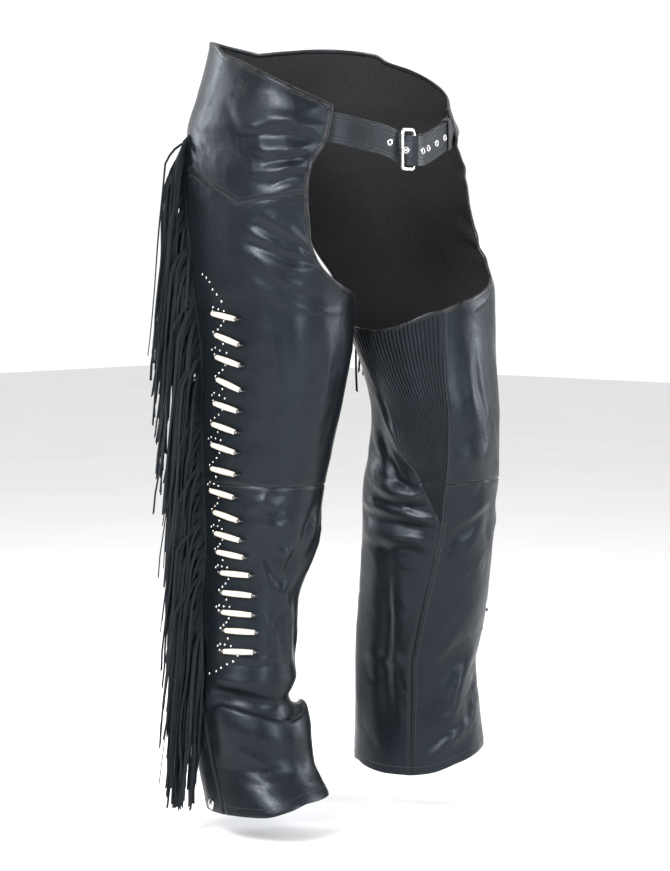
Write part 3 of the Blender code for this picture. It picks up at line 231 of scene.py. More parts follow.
# The right ankle is tucked: nominal height above the floor, real height less the lip's, offset out.
TUCK = [
    (0.236, 0.236, 0.0), (0.222, 0.222, 0.0025), (0.210, 0.210, 0.0045), (0.200, 0.199, 0.0015), (0.192, 0.190, -0.0050),
    (0.184, 0.1815, -0.0078), (0.176, 0.1725, -0.0072), (0.169, 0.1655, -0.0025), (0.162, 0.1660, 0.0045), (0.155, 0.1710, 0.0092),
    (0.147, 0.1665, 0.0135), (0.136, 0.149, 0.0118), (0.118, 0.123, 0.0055), (0.098, 0.098, 0.0),
]
LIP_DROP = [(-6, 0.020), (21, 0.014), (40, 0.010), (59, 0.001), (73, -0.006), (88, -0.012), (107, -0.004), (128, 0.008), (175, 0.012)]

# The side seam that carries the fringe: height above the floor, angle.
SIDE_SEAM = [
    (0.960, -24), (0.930, -25), (0.893, -26), (0.860, -26), (0.830, -27), (0.780, -29), (0.738, -32),
    (0.700, -33), (0.650, -34), (0.600, -34), (0.550, -32), (0.520, -30), (0.476, -28), (0.420, -24),
    (0.380, -18), (0.342, -13.5), (0.278, -10), (0.210, -7), (0.150, -6.5), (0.105, -5), (0.040, -3),
]
SCOOP = {
    "right": [
        (38.5, 0.859), (40.5, 0.840), (44, 0.820), (53, 0.787), (66, 0.765), (84.5, 0.747), (100, 0.736),
        (118, 0.726), (127.5, 0.716),
    ],
    "left": [
        (37.5, 0.859), (38, 0.840), (41, 0.818), (45, 0.798), (56, 0.766), (66, 0.748), (78, 0.736),
        (92, 0.726), (110, 0.716), (127.5, 0.706),
    ],
}
YOKE_FRONT = {
    "right": [(46, 0.976), (44.5, 0.950), (43, 0.929), (40, 0.911), (38, 0.898), (37.5, 0.878), (38.5, 0.859)],
    "left": [(46, 0.976), (43, 0.950), (40, 0.929), (37.5, 0.911), (36.5, 0.898), (36.5, 0.878), (37.5, 0.859)],
}
YOKE_TOP = [(-90, 1.056), (-65, 1.062), (-40, 1.066), (-17, 1.059), (-10.5, 1.048), (2, 1.036), (18.5, 1.015), (31.5, 0.996), (46, 0.976)]
YOKE_SEAM = [(-56, 0.922), (-40, 0.904), (-26, 0.893), (-12.5, 0.880), (-3, 0.865), (9.5, 0.846), (23.5, 0.852)]
YOKE_BACK = [(-90, 0.962), (-72, 0.946)]
SEAT = [(-145, 0.682), (-128, 0.704), (-108, 0.735), (-90, 0.772), (-76, 0.815), (-66, 0.862), (-60, 0.898), (-56, 0.922)]
STRETCH_TOP = {
    "right": [(127.5, 0.716), (139, 0.703), (161, 0.687), (187, 0.678), (215, 0.682)],
    "left": [(127.5, 0.706), (139, 0.701), (161, 0.686), (187, 0.677), (215, 0.682)],
}
STRETCH_FRONT = [(132, 0.665), (137, 0.629), (141, 0.576), (142, 0.519), (143, 0.468), (145.2, 0.440), (145.9, 0.417)]
STRETCH_BACK = [(216.5, 0.655), (214.5, 0.625), (208, 0.598), (201, 0.574), (193, 0.542), (184, 0.509), (168, 0.479), (156.5, 0.447), (146.9, 0.417)]
INSEAM = [(147.6, 0.400), (154, 0.354), (162, 0.299), (167, 0.242), (169, 0.174), (170, 0.130)]
KNEE_SEAM = [(-28, 0.476), (30, 0.474), (60, 0.472), (95, 0.472), (120, 0.471), (143, 0.468)]
HEM = {
    "right": [(-3, 0.038), (19, 0.039), (45, 0.041), (66, 0.050), (84, 0.059), (121, 0.061), (170.5, 0.058), (215, 0.050), (255, 0.042), (300, 0.037), (357, 0.038)],
    "left": [(-3, 0.052), (30, 0.078), (60, 0.092), (80, 0.091), (122, 0.076), (150, 0.062), (170.5, 0.058), (200, 0.059), (227, 0.065), (240, 0.070), (290, 0.060), (357, 0.052)],
}

# Bead ends on the thigh and shin, top to bottom: angle and height of the fringe-side end, then of the front end.
BEADS = [
    (-9.5, 0.703, 16.5, 0.696), (-8.5, 0.675, 17.5, 0.662), (-10.5, 0.646, 19.0, 0.634), (-9.0, 0.616, 20.5, 0.601),
    (-12.5, 0.584, 20.0, 0.573), (-14.0, 0.556, 20.0, 0.545), (-13.5, 0.528, 21.0, 0.518), (-13.5, 0.496, 23.5, 0.489),
    (-14.0, 0.466, 24.0, 0.458), (-8.0, 0.438, 30.5, 0.427), (-6.0, 0.410, 35.5, 0.401), (1.0, 0.385, 42.5, 0.379),
    (11.0, 0.357, 52.0, 0.355), (19.0, 0.331, 58.5, 0.328), (20.5, 0.305, 60.5, 0.302), (23.5, 0.281, 64.0, 0.279),
    (22.5, 0.253, 62.5, 0.253),
]
FRINGE_TOP, FRINGE_LOW, STRANDS = 0.936, 0.206, 80
LANES = (0, 4, 1, 5, 2, 6, 3, 7)  # lateral place of each strand in turn, in lane widths
LANE_WIDTH = 0.0050
STRAND_WIDE, STRAND_THICK = 0.0040, 0.0018
STRAND_BEND, STRAND_REACH = 0.040, 0.028  # below the root a strand has swung out this far and reached its lane
STRAND_LEAN = 0.10  # reach gained per metre of fall below the bend
STRAND_APART = 0.0048

BELT_WIDE, BELT_THICK = 0.040, 0.0025
BUCKLE_HIGH, BUCKLE_ROD = 0.052, 0.0020

BELT_LEVEL = [(24, 0.958), (46, 0.947), (60, 0.939), (77, 0.930), (85, 0.923), (90, 0.919), (98, 0.918), (107, 0.922), (115, 0.929), (123, 0.937), (131, 0.945), (156, 0.960)]
# middle of the strap's thickness out from the hips' form, by angle
OVER = [(24, -0.0106), (42, -0.0104), (48, -0.0076), (57, -0.0050), (66, -0.0044), (82, -0.0036), (87, -0.0030), (90, -0.0006), (94, 0.0046), (96.4, 0.0068), (99.4, 0.0068), (102, 0.0048), (106, 0.0014), (111, -0.0002), (136, -0.0006)]
UNDER = [(97.8, 0.0023), (99.8, 0.0021), (101.4, 0.0012), (105, -0.0026), (110, -0.0036), (126, -0.0041), (130, -0.0056), (134, -0.0094), (140, -0.0104), (156, -0.0108)]
HEEL = (97.0, -0.0012)
OUTER_BAR = (86.2, 0.0022)
EYELETS = (78.5, 90.0, 99.8, 107.5, 115.5, 123.5)
EYELET_HOLE = 0.0028


SETTLED = {(Side.LEFT, 10), (Side.RIGHT, 17)}  # beads over a fold, pressed into it
# Studs between beads: share of the way down to the next bead, millimetres forward of the beads' outer ends.
AFTER_ODD = ((0.30, 15.5), (0.56, 9.5), (0.74, 2.5), (0.92, -5.5))
AFTER_EVEN = ((0.38, 10.5), (0.74, 17.0), (0.72, 6.0), (0.68, -4.0), (0.80, -9.5), (0.98, -4.0))
STUD_TOP = (
    (-17, 0.754), (-13.5, 0.750), (-10.5, 0.744), (-8, 0.734), (-4, 0.728), (0, 0.718),
    (-9.5, 0.710), (-11, 0.706), (-4, 0.708), (2, 0.706),
)
STUD_END = ((42, 0.248), (37, 0.240), (30, 0.236), (23, 0.230), (16, 0.224), (5.5, 0.220), (-7.5, 0.216))


def pchip(xs: Array, ys: Array, x: Array) -> Array:
    """Shape-keeping cubic through table rows.

    Each stretch is a cubic whose end slopes are the weighted harmonic mean of the neighbouring chords, or nothing
    where they change sign, so it never overshoots the rows.

    Args:
        xs: Rising places of the rows.
        ys: One row of values for each place.
        x: Where to read, any shape.

    Returns:
        The values, with one more axis than x.
    """
    xs, ys, x = np.asarray(xs, float), np.asarray(ys, float), np.asarray(x, float)
    gap = np.diff(xs)[:, None]
    chord = np.diff(ys, axis=0) / gap
    slope = np.zeros_like(ys)
    same = (chord[:-1] * chord[1:]) > 0
    w1, w2 = 2 * gap[1:] + gap[:-1], gap[1:] + 2 * gap[:-1]
    safe0, safe1 = np.where(same, chord[:-1], 1.0), np.where(same, chord[1:], 1.0)
    slope[1:-1] = np.where(same, (w1 + w2) / (w1 / safe0 + w2 / safe1), 0.0)
    slope[0], slope[-1] = chord[0], chord[-1]
    k = np.clip(np.searchsorted(xs, x, side="right") - 1, 0, len(xs) - 2)
    t = ((x - xs[k]) / gap[k, 0])[..., None]
    return (
        (1 + 2 * t) * (1 - t) ** 2 * ys[k]
        + t * (1 - t) ** 2 * gap[k] * slope[k]
        + t * t * (3 - 2 * t) * ys[k + 1]
        + t * t * (t - 1) * gap[k] * slope[k + 1]
    )


def ease(x: Array | float) -> Array:
    """Smooth step from 0 to 1, flat at both ends."""
    x = np.clip(x, 0.0, 1.0)
    return x * x * (3 - 2 * x)


def unit(v: Array) -> Array:
    """Vectors scaled to length one along the last axis."""
    return v / np.maximum(np.linalg.norm(v, axis=-1, keepdims=True), 1e-12)


def soft_noise(points: Array, size: float, seed: int) -> Array:
    """Smooth random field: values at the corners of a cubic lattice, eased between them.

    Args:
        points: Places, with a last axis of three.
        size: Side of a lattice cell in metres.
        seed: Which field.

    Returns:
        Values from about -1 to 1.
    """
    table = np.random.default_rng(seed).uniform(-1, 1, (32, 32, 32))
    scaled = points / size + 1000.0
    cell = np.floor(scaled).astype(int)
    part = ease(scaled - cell)
    total = np.zeros(points.shape[:-1])
    for corner in range(8):
        step = np.array([corner & 1, corner >> 1 & 1, corner >> 2 & 1])
        at = (cell + step) % 32
        weight = np.where(step, part, 1 - part).prod(-1)
        total += weight * table[at[..., 0], at[..., 1], at[..., 2]]
    return total


def lines_length(line: Array, around: float = 0.10) -> Array:
    """Running length of a line of (angle, height) places, with around metres to a radian."""
    steps = np.hypot(np.radians(np.diff(line[:, 0])) * around, np.diff(line[:, 1]))
    return np.concatenate([[0.0], np.cumsum(steps)])


def curve(places: Sequence[Place] | Array, count: int) -> Array:
    """Even places along the smooth curve through a line's own places.

    Args:
        places: The line's (angle, height) places.
        count: Number of steps.

    Returns:
        count + 1 places.
    """
    line = np.array(places, float)
    length = lines_length(line)
    return pchip(length, line, np.linspace(0, length[-1], count + 1))


def join(first: Array, *others: Array) -> Array:
    """Lines of places end to end, each taking up at the last place of the one before."""
    return np.concatenate([first, *[other[1:] for other in others]])


def patch(top: Array, bottom: Array, left: Array, right: Array) -> Array:
    """Coons patch of places: both blends of the opposite edges, less the blend of the corners.

    Args:
        top: First row of places.
        bottom: Last row.
        left: First column.
        right: Last column.

    Returns:
        Grid of places, rows from top to bottom.
    """
    share = [lines_length(edge) / lines_length(edge)[-1] for edge in (top, bottom, left, right)]
    u, v = ((share[0] + share[1]) / 2)[None, :, None], ((share[2] + share[3]) / 2)[:, None, None]
    return (
        (1 - v) * top[None] + v * bottom[None] + (1 - u) * left[:, None] + u * right[:, None]
        - (1 - u) * (1 - v) * top[0] - u * (1 - v) * top[-1] - (1 - u) * v * bottom[0] - u * v * bottom[-1]
    )


@dataclass
class Form:
    """The outer form of one side, from the waist to the hem, with all its folds."""

    side: Side
    rows: Array = field(init=False)
    folds: list[FoldRow] = field(init=False)

    def __post_init__(self) -> None:
        """Turn the section table upside down for reading and gather the folds, large then fine."""
        self.rows = np.array(SECTIONS[self.side.value][::-1], float)
        self.folds = list(FOLDS[self.side.value]) + list(CREASES[self.side.value])
        for family in CREASE_FAMILIES[self.side.value]:
            self.folds += family.rows()

    def relief(self, phi: Array, h: Array) -> Array:
        """Height of the folds over the plain form.

        Each fold is a ridge or trough with a bell-shaped section about the nearest place of its line, lower at
        the line's ends.

        Args:
            phi: Angles, from -180 to 180.
            h: Heights above the floor.

        Returns:
            Offsets out, in metres.
        """
        reach = np.interp(h, [0.72, 0.86], [0.088, 0.168])
        total = np.zeros(phi.shape)
        for width_mm, height_mm, line in self.folds:
            width = width_mm * 1e-3
            centre = line[len(line) // 2][0]
            turned = phi + 360.0 * np.round((centre - phi) / 360.0)
            places = np.array(line, float)
            spread = math.degrees(3.0 * width / 0.088)
            near = (
                (turned > places[:, 0].min() - spread) & (turned < places[:, 0].max() + spread)
                & (h > places[:, 1].min() - 3.0 * width) & (h < places[:, 1].max() + 3.0 * width)
            )
            if not near.any():
                continue
            around = reach[near]
            x, y = np.radians(turned[near]) * around, h[near]
            best, share = np.full(x.shape, 1e9), np.zeros(x.shape)
            for i, (start, end) in enumerate(zip(places[:-1], places[1:])):
                ax, bx = np.radians(start[0]) * around, np.radians(end[0]) * around
                run, rise = bx - ax, end[1] - start[1]
                t = np.clip(((x - ax) * run + (y - start[1]) * rise) / (run**2 + rise**2), 0, 1)
                gap = np.hypot(x - ax - t * run, y - start[1] - t * rise)
                closer = gap < best
                best, share = np.where(closer, gap, best), np.where(closer, (i + t) / (len(line) - 1), share)
            ends = 0.15 + 0.85 * np.sin(math.pi * np.clip(share * 0.86 + 0.07, 0, 1))
            total[near] += height_mm * 1e-3 * ends * np.exp(-((best / width) ** 2))
        return total

    def tuck(self, phi: Array, h: Array) -> tuple[Array, Array]:
        """Real height and offset where the right ankle folds over itself."""
        rows = np.array(TUCK[::-1])
        inside = (h > rows[0, 0]) & (h < rows[-1, 0])
        real = pchip(rows[:, 0], rows[:, 1:], np.clip(h, rows[0, 0], rows[-1, 0]))
        amount = ease((phi + 8) / 36) * ease((172 - phi) / 38)
        shift = np.interp(phi, *np.array(LIP_DROP).T)
        shape = np.sin(math.pi * np.clip((h - rows[0, 0]) / (rows[-1, 0] - rows[0, 0]), 0, 1)) ** 2
        moved = h + amount * ((real[..., 0] - h) + shift * shape)
        return np.where(inside, moved, h), np.where(inside, amount * real[..., 1], 0.0)

    def place(self, phi: Array | float, h: Array | float, off: Array | float = 0.0) -> Array:
        """Points of the form: a superellipse section at each height, pushed out by the folds.

        Args:
            phi: Angles in degrees.
            h: Heights above the floor.
            off: Further offset out.

        Returns:
            Points in the frame.
        """
        phi, h = np.broadcast_arrays(np.asarray(phi, float), np.asarray(h, float))
        around = (phi + 180.0) % 360.0 - 180.0
        off = off + self.relief(around, h)
        if self.side is Side.RIGHT:
            h, more = self.tuck(np.where(around < -90, around + 360, around), h)
            off = off + more
        cx, cy, a, front, back, n, turn = np.moveaxis(pchip(self.rows[:, 0], self.rows[:, 1:], h), -1, 0)
        c, s = np.cos(np.radians(phi)), np.sin(np.radians(phi))
        b = np.where(s > 0, front, back)
        r = (np.abs(c / a) ** n + np.abs(s / b) ** n) ** (-1 / n) + off
        x, y, t = r * c, -r * s, np.radians(turn)
        out, fore = x * np.cos(t) - y * np.sin(t), x * np.sin(t) + y * np.cos(t)
        return np.stack([cx + self.side.sign * out, cy + fore, h - WAIST_H], -1)

    def rumple(self, points: Array) -> Array:
        """Soft unevenness of the leather at given points: three sizes of noise added together."""
        return sum(depth * soft_noise(points, size, seed) for depth, size, seed in RUMPLES)

    def skin(self, phi: Array | float, h: Array | float, off: Array | float = 0.0) -> tuple[Array, Array]:
        """Points on or over the leather's outer face, and the directions out of it.

        Args:
            phi: Angles in degrees.
            h: Heights above the floor.
            off: Height over the leather.

        Returns:
            Points and unit normals.
        """
        phi, h = np.broadcast_arrays(np.asarray(phi, float), np.asarray(h, float))
        points, normals = self.place(phi, h), self.facing(phi, h)
        return points + normals * (self.rumple(points) + off)[..., None], normals

    def slopes(self, phi: Array, h: Array) -> tuple[Array, Array]:
        """How a point moves for each degree round and each metre up."""
        dp, dh = 0.4, 0.0012
        phi, h = np.asarray(phi, float), np.asarray(h, float)
        round_it = (self.place(phi + dp, h) - self.place(phi - dp, h)) / (2 * dp)
        up_it = (self.place(phi, h + dh) - self.place(phi, h - dh)) / (2 * dh)
        return round_it, up_it

    def facing(self, phi: Array, h: Array) -> Array:
        """Unit normals out of the form."""
        round_it, up_it = self.slopes(phi, h)
        return unit(np.cross(round_it, up_it) * -self.side.sign)

    def lane(self, line: Array, offset: float) -> Array:
        """A line moved sideways in the leather's own surface.

        The move is across the line's direction, to its left when seen from outside, solved in the least-squares
        sense for the change of angle and height that makes it.

        Args:
            line: Places along the line.
            offset: Metres to move.

        Returns:
            The moved places.
        """
        points = self.place(line[:, 0], line[:, 1])
        round_it, up_it = self.slopes(line[:, 0], line[:, 1])
        normal = unit(np.cross(round_it, up_it) * -self.side.sign)
        aside = unit(np.cross(normal, np.gradient(points, axis=0))) * offset
        a, b, c = (round_it**2).sum(-1), (round_it * up_it).sum(-1), (up_it**2).sum(-1)
        p, q = (round_it * aside).sum(-1), (up_it * aside).sum(-1)
        det = a * c - b * b
        return line + np.stack([(p * c - q * b) / det, (q * a - p * b) / det], -1)


@dataclass(frozen=True)
class CreaseFamily:
    """Fine creases of one kind strewn over a stretch of leather, none quite alike."""

    count: int
    angles: Place
    heights: Place
    heading: float
    spread: float
    length_mm: Place
    width_mm: Place
    height_mm: float
    seed: int

    def rows(self) -> list[FoldRow]:
        """Lay each crease at a random place as a shallow arc of four points.

        Returns:
            Fold rows like those of the large folds.
        """
        rng = np.random.default_rng(self.seed)
        rows: list[FoldRow] = []
        for _ in range(self.count):
            phi, h = rng.uniform(*self.angles), rng.uniform(*self.heights)
            heading = math.radians(self.heading + rng.normal() * self.spread)
            length, bow = rng.uniform(*self.length_mm) * 1e-3, rng.uniform(-0.14, 0.14)
            along = np.linspace(-0.5, 0.5, 4)
            aside = bow * (1 - (2 * along) ** 2)
            x = length * (along * math.cos(heading) - aside * math.sin(heading))
            y = length * (along * math.sin(heading) + aside * math.cos(heading))
            line = [(phi + math.degrees(dx / 0.092), h + dy) for dx, dy in zip(x, y)]
            rows.append((rng.uniform(*self.width_mm), self.height_mm * rng.uniform(-1.0, 1.0), line))
        return rows


# Fine creases placed one by one: width and height in millimetres, then places along the crease.
CREASES: dict[str, list[FoldRow]] = {
    "right": [
        (4.0, 1.3, [(60, 0.738), (42, 0.752), (24, 0.776)]),
        (2.6, 1.5, [(58, 0.777), (48, 0.793), (36, 0.814)]),
        (2.2, -1.3, [(60, 0.772), (50, 0.785), (38, 0.805)]),
        (2.6, 1.4, [(63, 0.768), (52, 0.778), (36, 0.796)]),
        (2.4, -1.2, [(66, 0.763), (54, 0.771), (36, 0.786)]),
        (2.8, 1.2, [(50, 0.792), (43, 0.812), (34, 0.838)]),
        (3.4, 1.5, [(41, 0.930), (33, 0.921), (18, 0.902)]),
        (3.0, -1.3, [(40, 0.920), (32, 0.909), (23, 0.893)]),
        (3.4, 1.4, [(38, 0.908), (31, 0.896), (15, 0.872)]),
        (3.0, -1.2, [(37, 0.896), (31, 0.884), (21, 0.866)]),
        (4.4, 1.6, [(43, 0.948), (34, 0.950), (20, 0.938)]),
        (9.0, 1.9, [(28, 0.957), (14, 0.950), (-2, 0.952)]),
        (8.0, 1.8, [(27, 0.916), (17, 0.920), (4, 0.931)]),
        (7.0, -1.5, [(26, 0.906), (18, 0.907), (10, 0.912)]),
        (7.0, 1.5, [(25, 0.894), (18, 0.891), (12, 0.884)]),
        (7.0, 1.3, [(29, 0.862), (20, 0.858), (14, 0.848)]),
        (5.0, -1.2, [(72, 0.726), (50, 0.734), (30, 0.752)]),
        (4.0, 1.0, [(96, 0.704), (70, 0.706), (44, 0.722)]),
        (7.0, 1.3, [(30, 0.742), (42, 0.660), (50, 0.600)]),
        (6.0, -1.0, [(38, 0.748), (52, 0.672), (60, 0.612)]),
        (9.0, 1.5, [(84, 0.690), (88, 0.610), (84, 0.540)]),
        (8.0, -1.4, [(100, 0.690), (104, 0.600), (98, 0.520)]),
        (4.0, 1.2, [(34, 0.246), (60, 0.240), (84, 0.244)]),
        (3.5, -1.0, [(40, 0.238), (66, 0.231), (92, 0.236)]),
        (5.0, 1.2, [(26, 0.122), (54, 0.110), (86, 0.100)]),
        (4.5, -1.1, [(34, 0.082), (60, 0.078), (92, 0.082)]),
        (5.0, 1.0, [(98, 0.118), (112, 0.092), (120, 0.070)]),
        (4.0, 1.4, [(70, 0.300), (80, 0.270), (86, 0.236)]),
        (6.0, 1.6, [(6, 0.968), (16, 0.940), (20, 0.905)]),
        (6.0, -1.4, [(-2, 0.980), (6, 0.946), (10, 0.900)]),
        (4.0, 1.3, [(44, 0.440), (58, 0.434), (74, 0.436)]),
        (4.0, -1.2, [(52, 0.404), (62, 0.396), (72, 0.394)]),
    ],
    "left": [
        (4.0, 1.5, [(206, 0.560), (196, 0.538), (184, 0.520)]),
        (4.5, -1.6, [(216, 0.512), (202, 0.490), (188, 0.480)]),
        (4.0, 1.4, [(226, 0.478), (206, 0.468), (184, 0.462)]),
        (4.0, 1.3, [(214, 0.418), (190, 0.416), (168, 0.412)]),
        (4.0, -1.2, [(206, 0.402), (182, 0.400), (160, 0.394)]),
        (5.0, 1.4, [(196, 0.360), (180, 0.352), (162, 0.350)]),
        (5.0, -1.3, [(150, 0.372), (132, 0.392), (118, 0.404)]),
        (5.0, 1.4, [(146, 0.352), (128, 0.372), (114, 0.384)]),
        (5.0, 1.2, [(140, 0.300), (128, 0.330), (116, 0.352)]),
        (6.0, -1.5, [(150, 0.240), (134, 0.262), (120, 0.288)]),
        (6.0, 1.6, [(152, 0.208), (138, 0.226), (122, 0.256)]),
        (5.0, 1.5, [(150, 0.120), (134, 0.138), (116, 0.160)]),
        (5.0, -1.4, [(148, 0.098), (130, 0.120), (112, 0.140)]),
        (7.0, 1.3, [(112, 0.640), (116, 0.590), (112, 0.540)]),
        (6.0, -1.2, [(104, 0.650), (106, 0.600), (100, 0.548)]),
        (4.0, 1.0, [(108, 0.700), (84, 0.716), (66, 0.734)]),
        (4.0, 1.3, [(200, 0.330), (196, 0.270), (190, 0.220)]),
    ],
}
CREASE_FAMILIES: dict[str, list[CreaseFamily]] = {
    "right": [
        CreaseFamily(26, (10, 130), (0.50, 0.70), 68, 26, (24, 70), (4.0, 9.0), 0.55, 21),
        CreaseFamily(22, (30, 128), (0.36, 0.46), 10, 30, (16, 44), (2.6, 5.0), 0.9, 22),
        CreaseFamily(16, (60, 128), (0.25, 0.35), 70, 24, (20, 50), (3.0, 6.0), 0.8, 23),
        CreaseFamily(18, (10, 130), (0.06, 0.13), 4, 16, (24, 70), (3.0, 6.0), 0.8, 24),
        CreaseFamily(22, (-20, 40), (0.86, 1.02), 50, 40, (18, 60), (3.5, 8.0), 0.7, 25),
        CreaseFamily(24, (-170, -60), (0.38, 0.54), 6, 20, (24, 60), (3.0, 6.5), 1.1, 26),
        CreaseFamily(20, (-170, -30), (0.56, 0.86), 74, 30, (30, 90), (5.0, 10.0), 0.8, 27),
        CreaseFamily(20, (-175, -20), (0.07, 0.34), 12, 40, (26, 70), (4.0, 8.0), 0.9, 28),
        CreaseFamily(14, (-85, -25), (0.95, 1.04), 60, 34, (24, 60), (4.0, 8.0), 0.7, 29),
    ],
    "left": [
        CreaseFamily(24, (150, 236), (0.39, 0.50), 24, 16, (18, 46), (2.6, 5.0), 1.1, 41),
        CreaseFamily(22, (96, 148), (0.34, 0.46), -46, 20, (16, 44), (2.6, 5.0), 1.0, 42),
        CreaseFamily(20, (92, 160), (0.10, 0.32), -52, 18, (24, 66), (3.5, 7.0), 1.0, 43),
        CreaseFamily(16, (170, 240), (0.10, 0.38), 66, 24, (26, 70), (4.0, 8.0), 0.9, 44),
        CreaseFamily(18, (60, 128), (0.50, 0.70), 74, 24, (26, 70), (4.0, 9.0), 0.6, 45),
        CreaseFamily(18, (10, 90), (0.10, 0.46), 12, 36, (24, 60), (4.0, 8.0), 0.9, 46),
        CreaseFamily(22, (-20, 40), (0.86, 1.02), 50, 40, (18, 60), (3.5, 8.0), 0.7, 47),
        CreaseFamily(22, (-130, -30), (0.38, 0.86), 60, 40, (26, 80), (4.0, 9.0), 0.8, 48),
        CreaseFamily(16, (-110, -10), (0.08, 0.34), 14, 40, (26, 70), (4.0, 8.0), 0.9, 49),
        CreaseFamily(14, (-85, -25), (0.95, 1.04), 60, 34, (24, 60), (4.0, 8.0), 0.7, 50),
    ],
}


@dataclass
class Shape:
    """Points and faces being gathered for one mesh, with a map coordinate and a share of rubbing and painted highlight
    for each point.
    """

    points: list[Array] = field(default_factory=list)
    quads: list[Array] = field(default_factory=list)
    caps: list[list[int]] = field(default_factory=list)
    maps: list[Array] = field(default_factory=list)
    wear_and_highlight_values: list[Array] = field(default_factory=list)
    slots: list[Array] = field(default_factory=list)
    size: int = 0

    def add(self, points: Array, quads: Array, maps: Array | None = None, wear_and_highlight: Array | None = None,
            slot: int | Array = 0, caps: Sequence[Sequence[int]] = ()) -> None:
        """Append one body.

        Args:
            points: Its points, any grid shape with a last axis of three.
            quads: Faces by index into its points.
            maps: Map coordinates of its points, or none.
            wear_and_highlight: Share from 0 to 1 of its points that lightens their colour (rubbing and painted
                highlight on leather, random tone on fringe strands), or none.
            slot: Material index of its faces.
            caps: End faces of more than four corners.
        """
        flat = points.reshape(-1, 3)
        self.points.append(flat)
        self.quads.append(np.asarray(quads, int).reshape(-1, 4) + self.size)
        self.caps += [[int(k) + self.size for k in cap] for cap in caps]
        self.maps.append(np.zeros((len(flat), 2)) if maps is None else maps.reshape(-1, 2))
        self.wear_and_highlight_values.append(np.zeros(len(flat)) if wear_and_highlight is None else wear_and_highlight.reshape(-1))
        self.slots.append(np.broadcast_to(np.asarray(slot, int), (len(self.quads[-1]),)))
        self.size += len(flat)

    def build(self, name: str, finishes: Sequence[bpy.types.Material], sharp: float = 50.0) -> bpy.types.Object:
        """Put everything gathered into one object.

        Args:
            name: The object's name.
            finishes: Its materials, by index.
            sharp: Angle in degrees past which an edge stays sharp.

        Returns:
            The object, linked into the scene.
        """
        points, quads = np.concatenate(self.points), np.concatenate(self.quads)
        mesh = bpy.data.meshes.new(name)
        mesh.vertices.add(len(points))
        mesh.vertices.foreach_set("co", points.astype(np.float32).ravel())
        loops = np.concatenate([quads.ravel(), np.array([k for cap in self.caps for k in cap], int)])
        lengths = np.concatenate([np.full(len(quads), 4), np.array([len(cap) for cap in self.caps], int)])
        mesh.loops.add(len(loops))
        mesh.loops.foreach_set("vertex_index", loops.astype(np.int32))
        mesh.polygons.add(len(lengths))
        mesh.polygons.foreach_set("loop_start", np.concatenate([[0], np.cumsum(lengths)[:-1]]).astype(np.int32))
        slots = np.concatenate([*self.slots, np.zeros(len(self.caps), int)])
        mesh.polygons.foreach_set("material_index", slots.astype(np.int32))
        mesh.update(calc_edges=True)
        layer = mesh.uv_layers.new(name="cut")
        layer.data.foreach_set("uv", np.concatenate(self.maps)[loops].astype(np.float32).ravel())
        # Per-point share that lightens the colour: rubbing and painted highlight on crests and edges, random tone on
        # fringe strands.
        wear_and_highlight_share = mesh.attributes.new("wear_and_highlight", "FLOAT", "POINT")
        wear_and_highlight_share.data.foreach_set("value", np.concatenate(self.wear_and_highlight_values).astype(np.float32))
        mesh.polygons.foreach_set("use_smooth", np.ones(len(lengths), bool))
        mesh.set_sharp_from_angle(angle=math.radians(sharp))
        mesh.validate()
        for finish in finishes:
            mesh.materials.append(finish)
        item = bpy.data.objects.new(name, mesh)
        bpy.context.scene.collection.objects.link(item)
        return item


def grid_quads(rows: int, cols: int, flip: bool = False, ring: bool = False) -> Array:
    """Faces of a grid of points laid out row by row.

    Args:
        rows: Rows of points.
        cols: Points in a row.
        flip: Turn the faces over.
        ring: Close each row on itself.

    Returns:
        Quads by index.
    """
    j = np.arange(cols if ring else cols - 1)
    i = np.arange(rows - 1)[:, None]
    nxt = (j + 1) % cols
    quads = np.stack(np.broadcast_arrays(i * cols + j, i * cols + nxt, (i + 1) * cols + nxt, (i + 1) * cols + j), -1)
    quads = quads.reshape(-1, 4)
    return quads[:, ::-1] if flip else quads


def outward(points: Array, quads: Array, caps: Sequence[Sequence[int]] = ()) -> tuple[Array, list[list[int]]]:
    """Turn a closed body's faces over if its signed volume is negative."""
    flat = points.reshape(-1, 3)
    a, b, c, d = (flat[quads[:, k]] for k in range(4))
    volume = (np.cross(a, b) * c).sum() + (np.cross(a, c) * d).sum()
    for cap in caps:
        first = flat[cap[0]]
        for k in range(1, len(cap) - 1):
            volume += float(np.dot(np.cross(first, flat[cap[k]]), flat[cap[k + 1]]))
    if volume < 0:
        return quads[:, ::-1], [list(reversed(cap)) for cap in caps]
    return quads, [list(cap) for cap in caps]


def sweep(path: Array, aside: Array, up: Array, profile: Array, closed: bool = False,
          grow: Array | None = None) -> tuple[Array, Array, list[list[int]]]:
    """A profile carried along a path: point = path + aside times the profile's x + up times its y.

    Args:
        path: Points along the middle line.
        aside: Unit vectors across the path, one a point.
        up: Unit vectors out of the surface, one a point.
        profile: Closed outline of the section.
        closed: The path meets itself.
        grow: Scale of the profile at each point of the path, one number or one for each way across.

    Returns:
        Ring-by-ring points, quads and end caps, faces outward.
    """
    scale = np.ones((len(path), 1)) if grow is None else grow.reshape(len(path), -1)
    shape = profile[None] * scale[:, None]
    points = path[:, None] + aside[:, None] * shape[..., :1] + up[:, None] * shape[..., 1:]
    n, m = len(path), len(profile)
    quads = grid_quads(n, m, ring=True)
    caps: list[list[int]] = []
    if closed:
        k = np.arange(m)
        quads = np.concatenate([quads, np.stack([(n - 1) * m + k, (n - 1) * m + (k + 1) % m, (k + 1) % m, k], -1)])
    else:
        caps = [list(range(m))[::-1], [(n - 1) * m + k for k in range(m)]]
    quads, caps = outward(points, quads, caps)
    return points, quads, caps


def circle(radius: float, sides: int) -> Array:
    """Outline of a round section."""
    angle = 2 * math.pi * np.arange(sides) / sides
    return np.stack([np.cos(angle), np.sin(angle)], -1) * radius


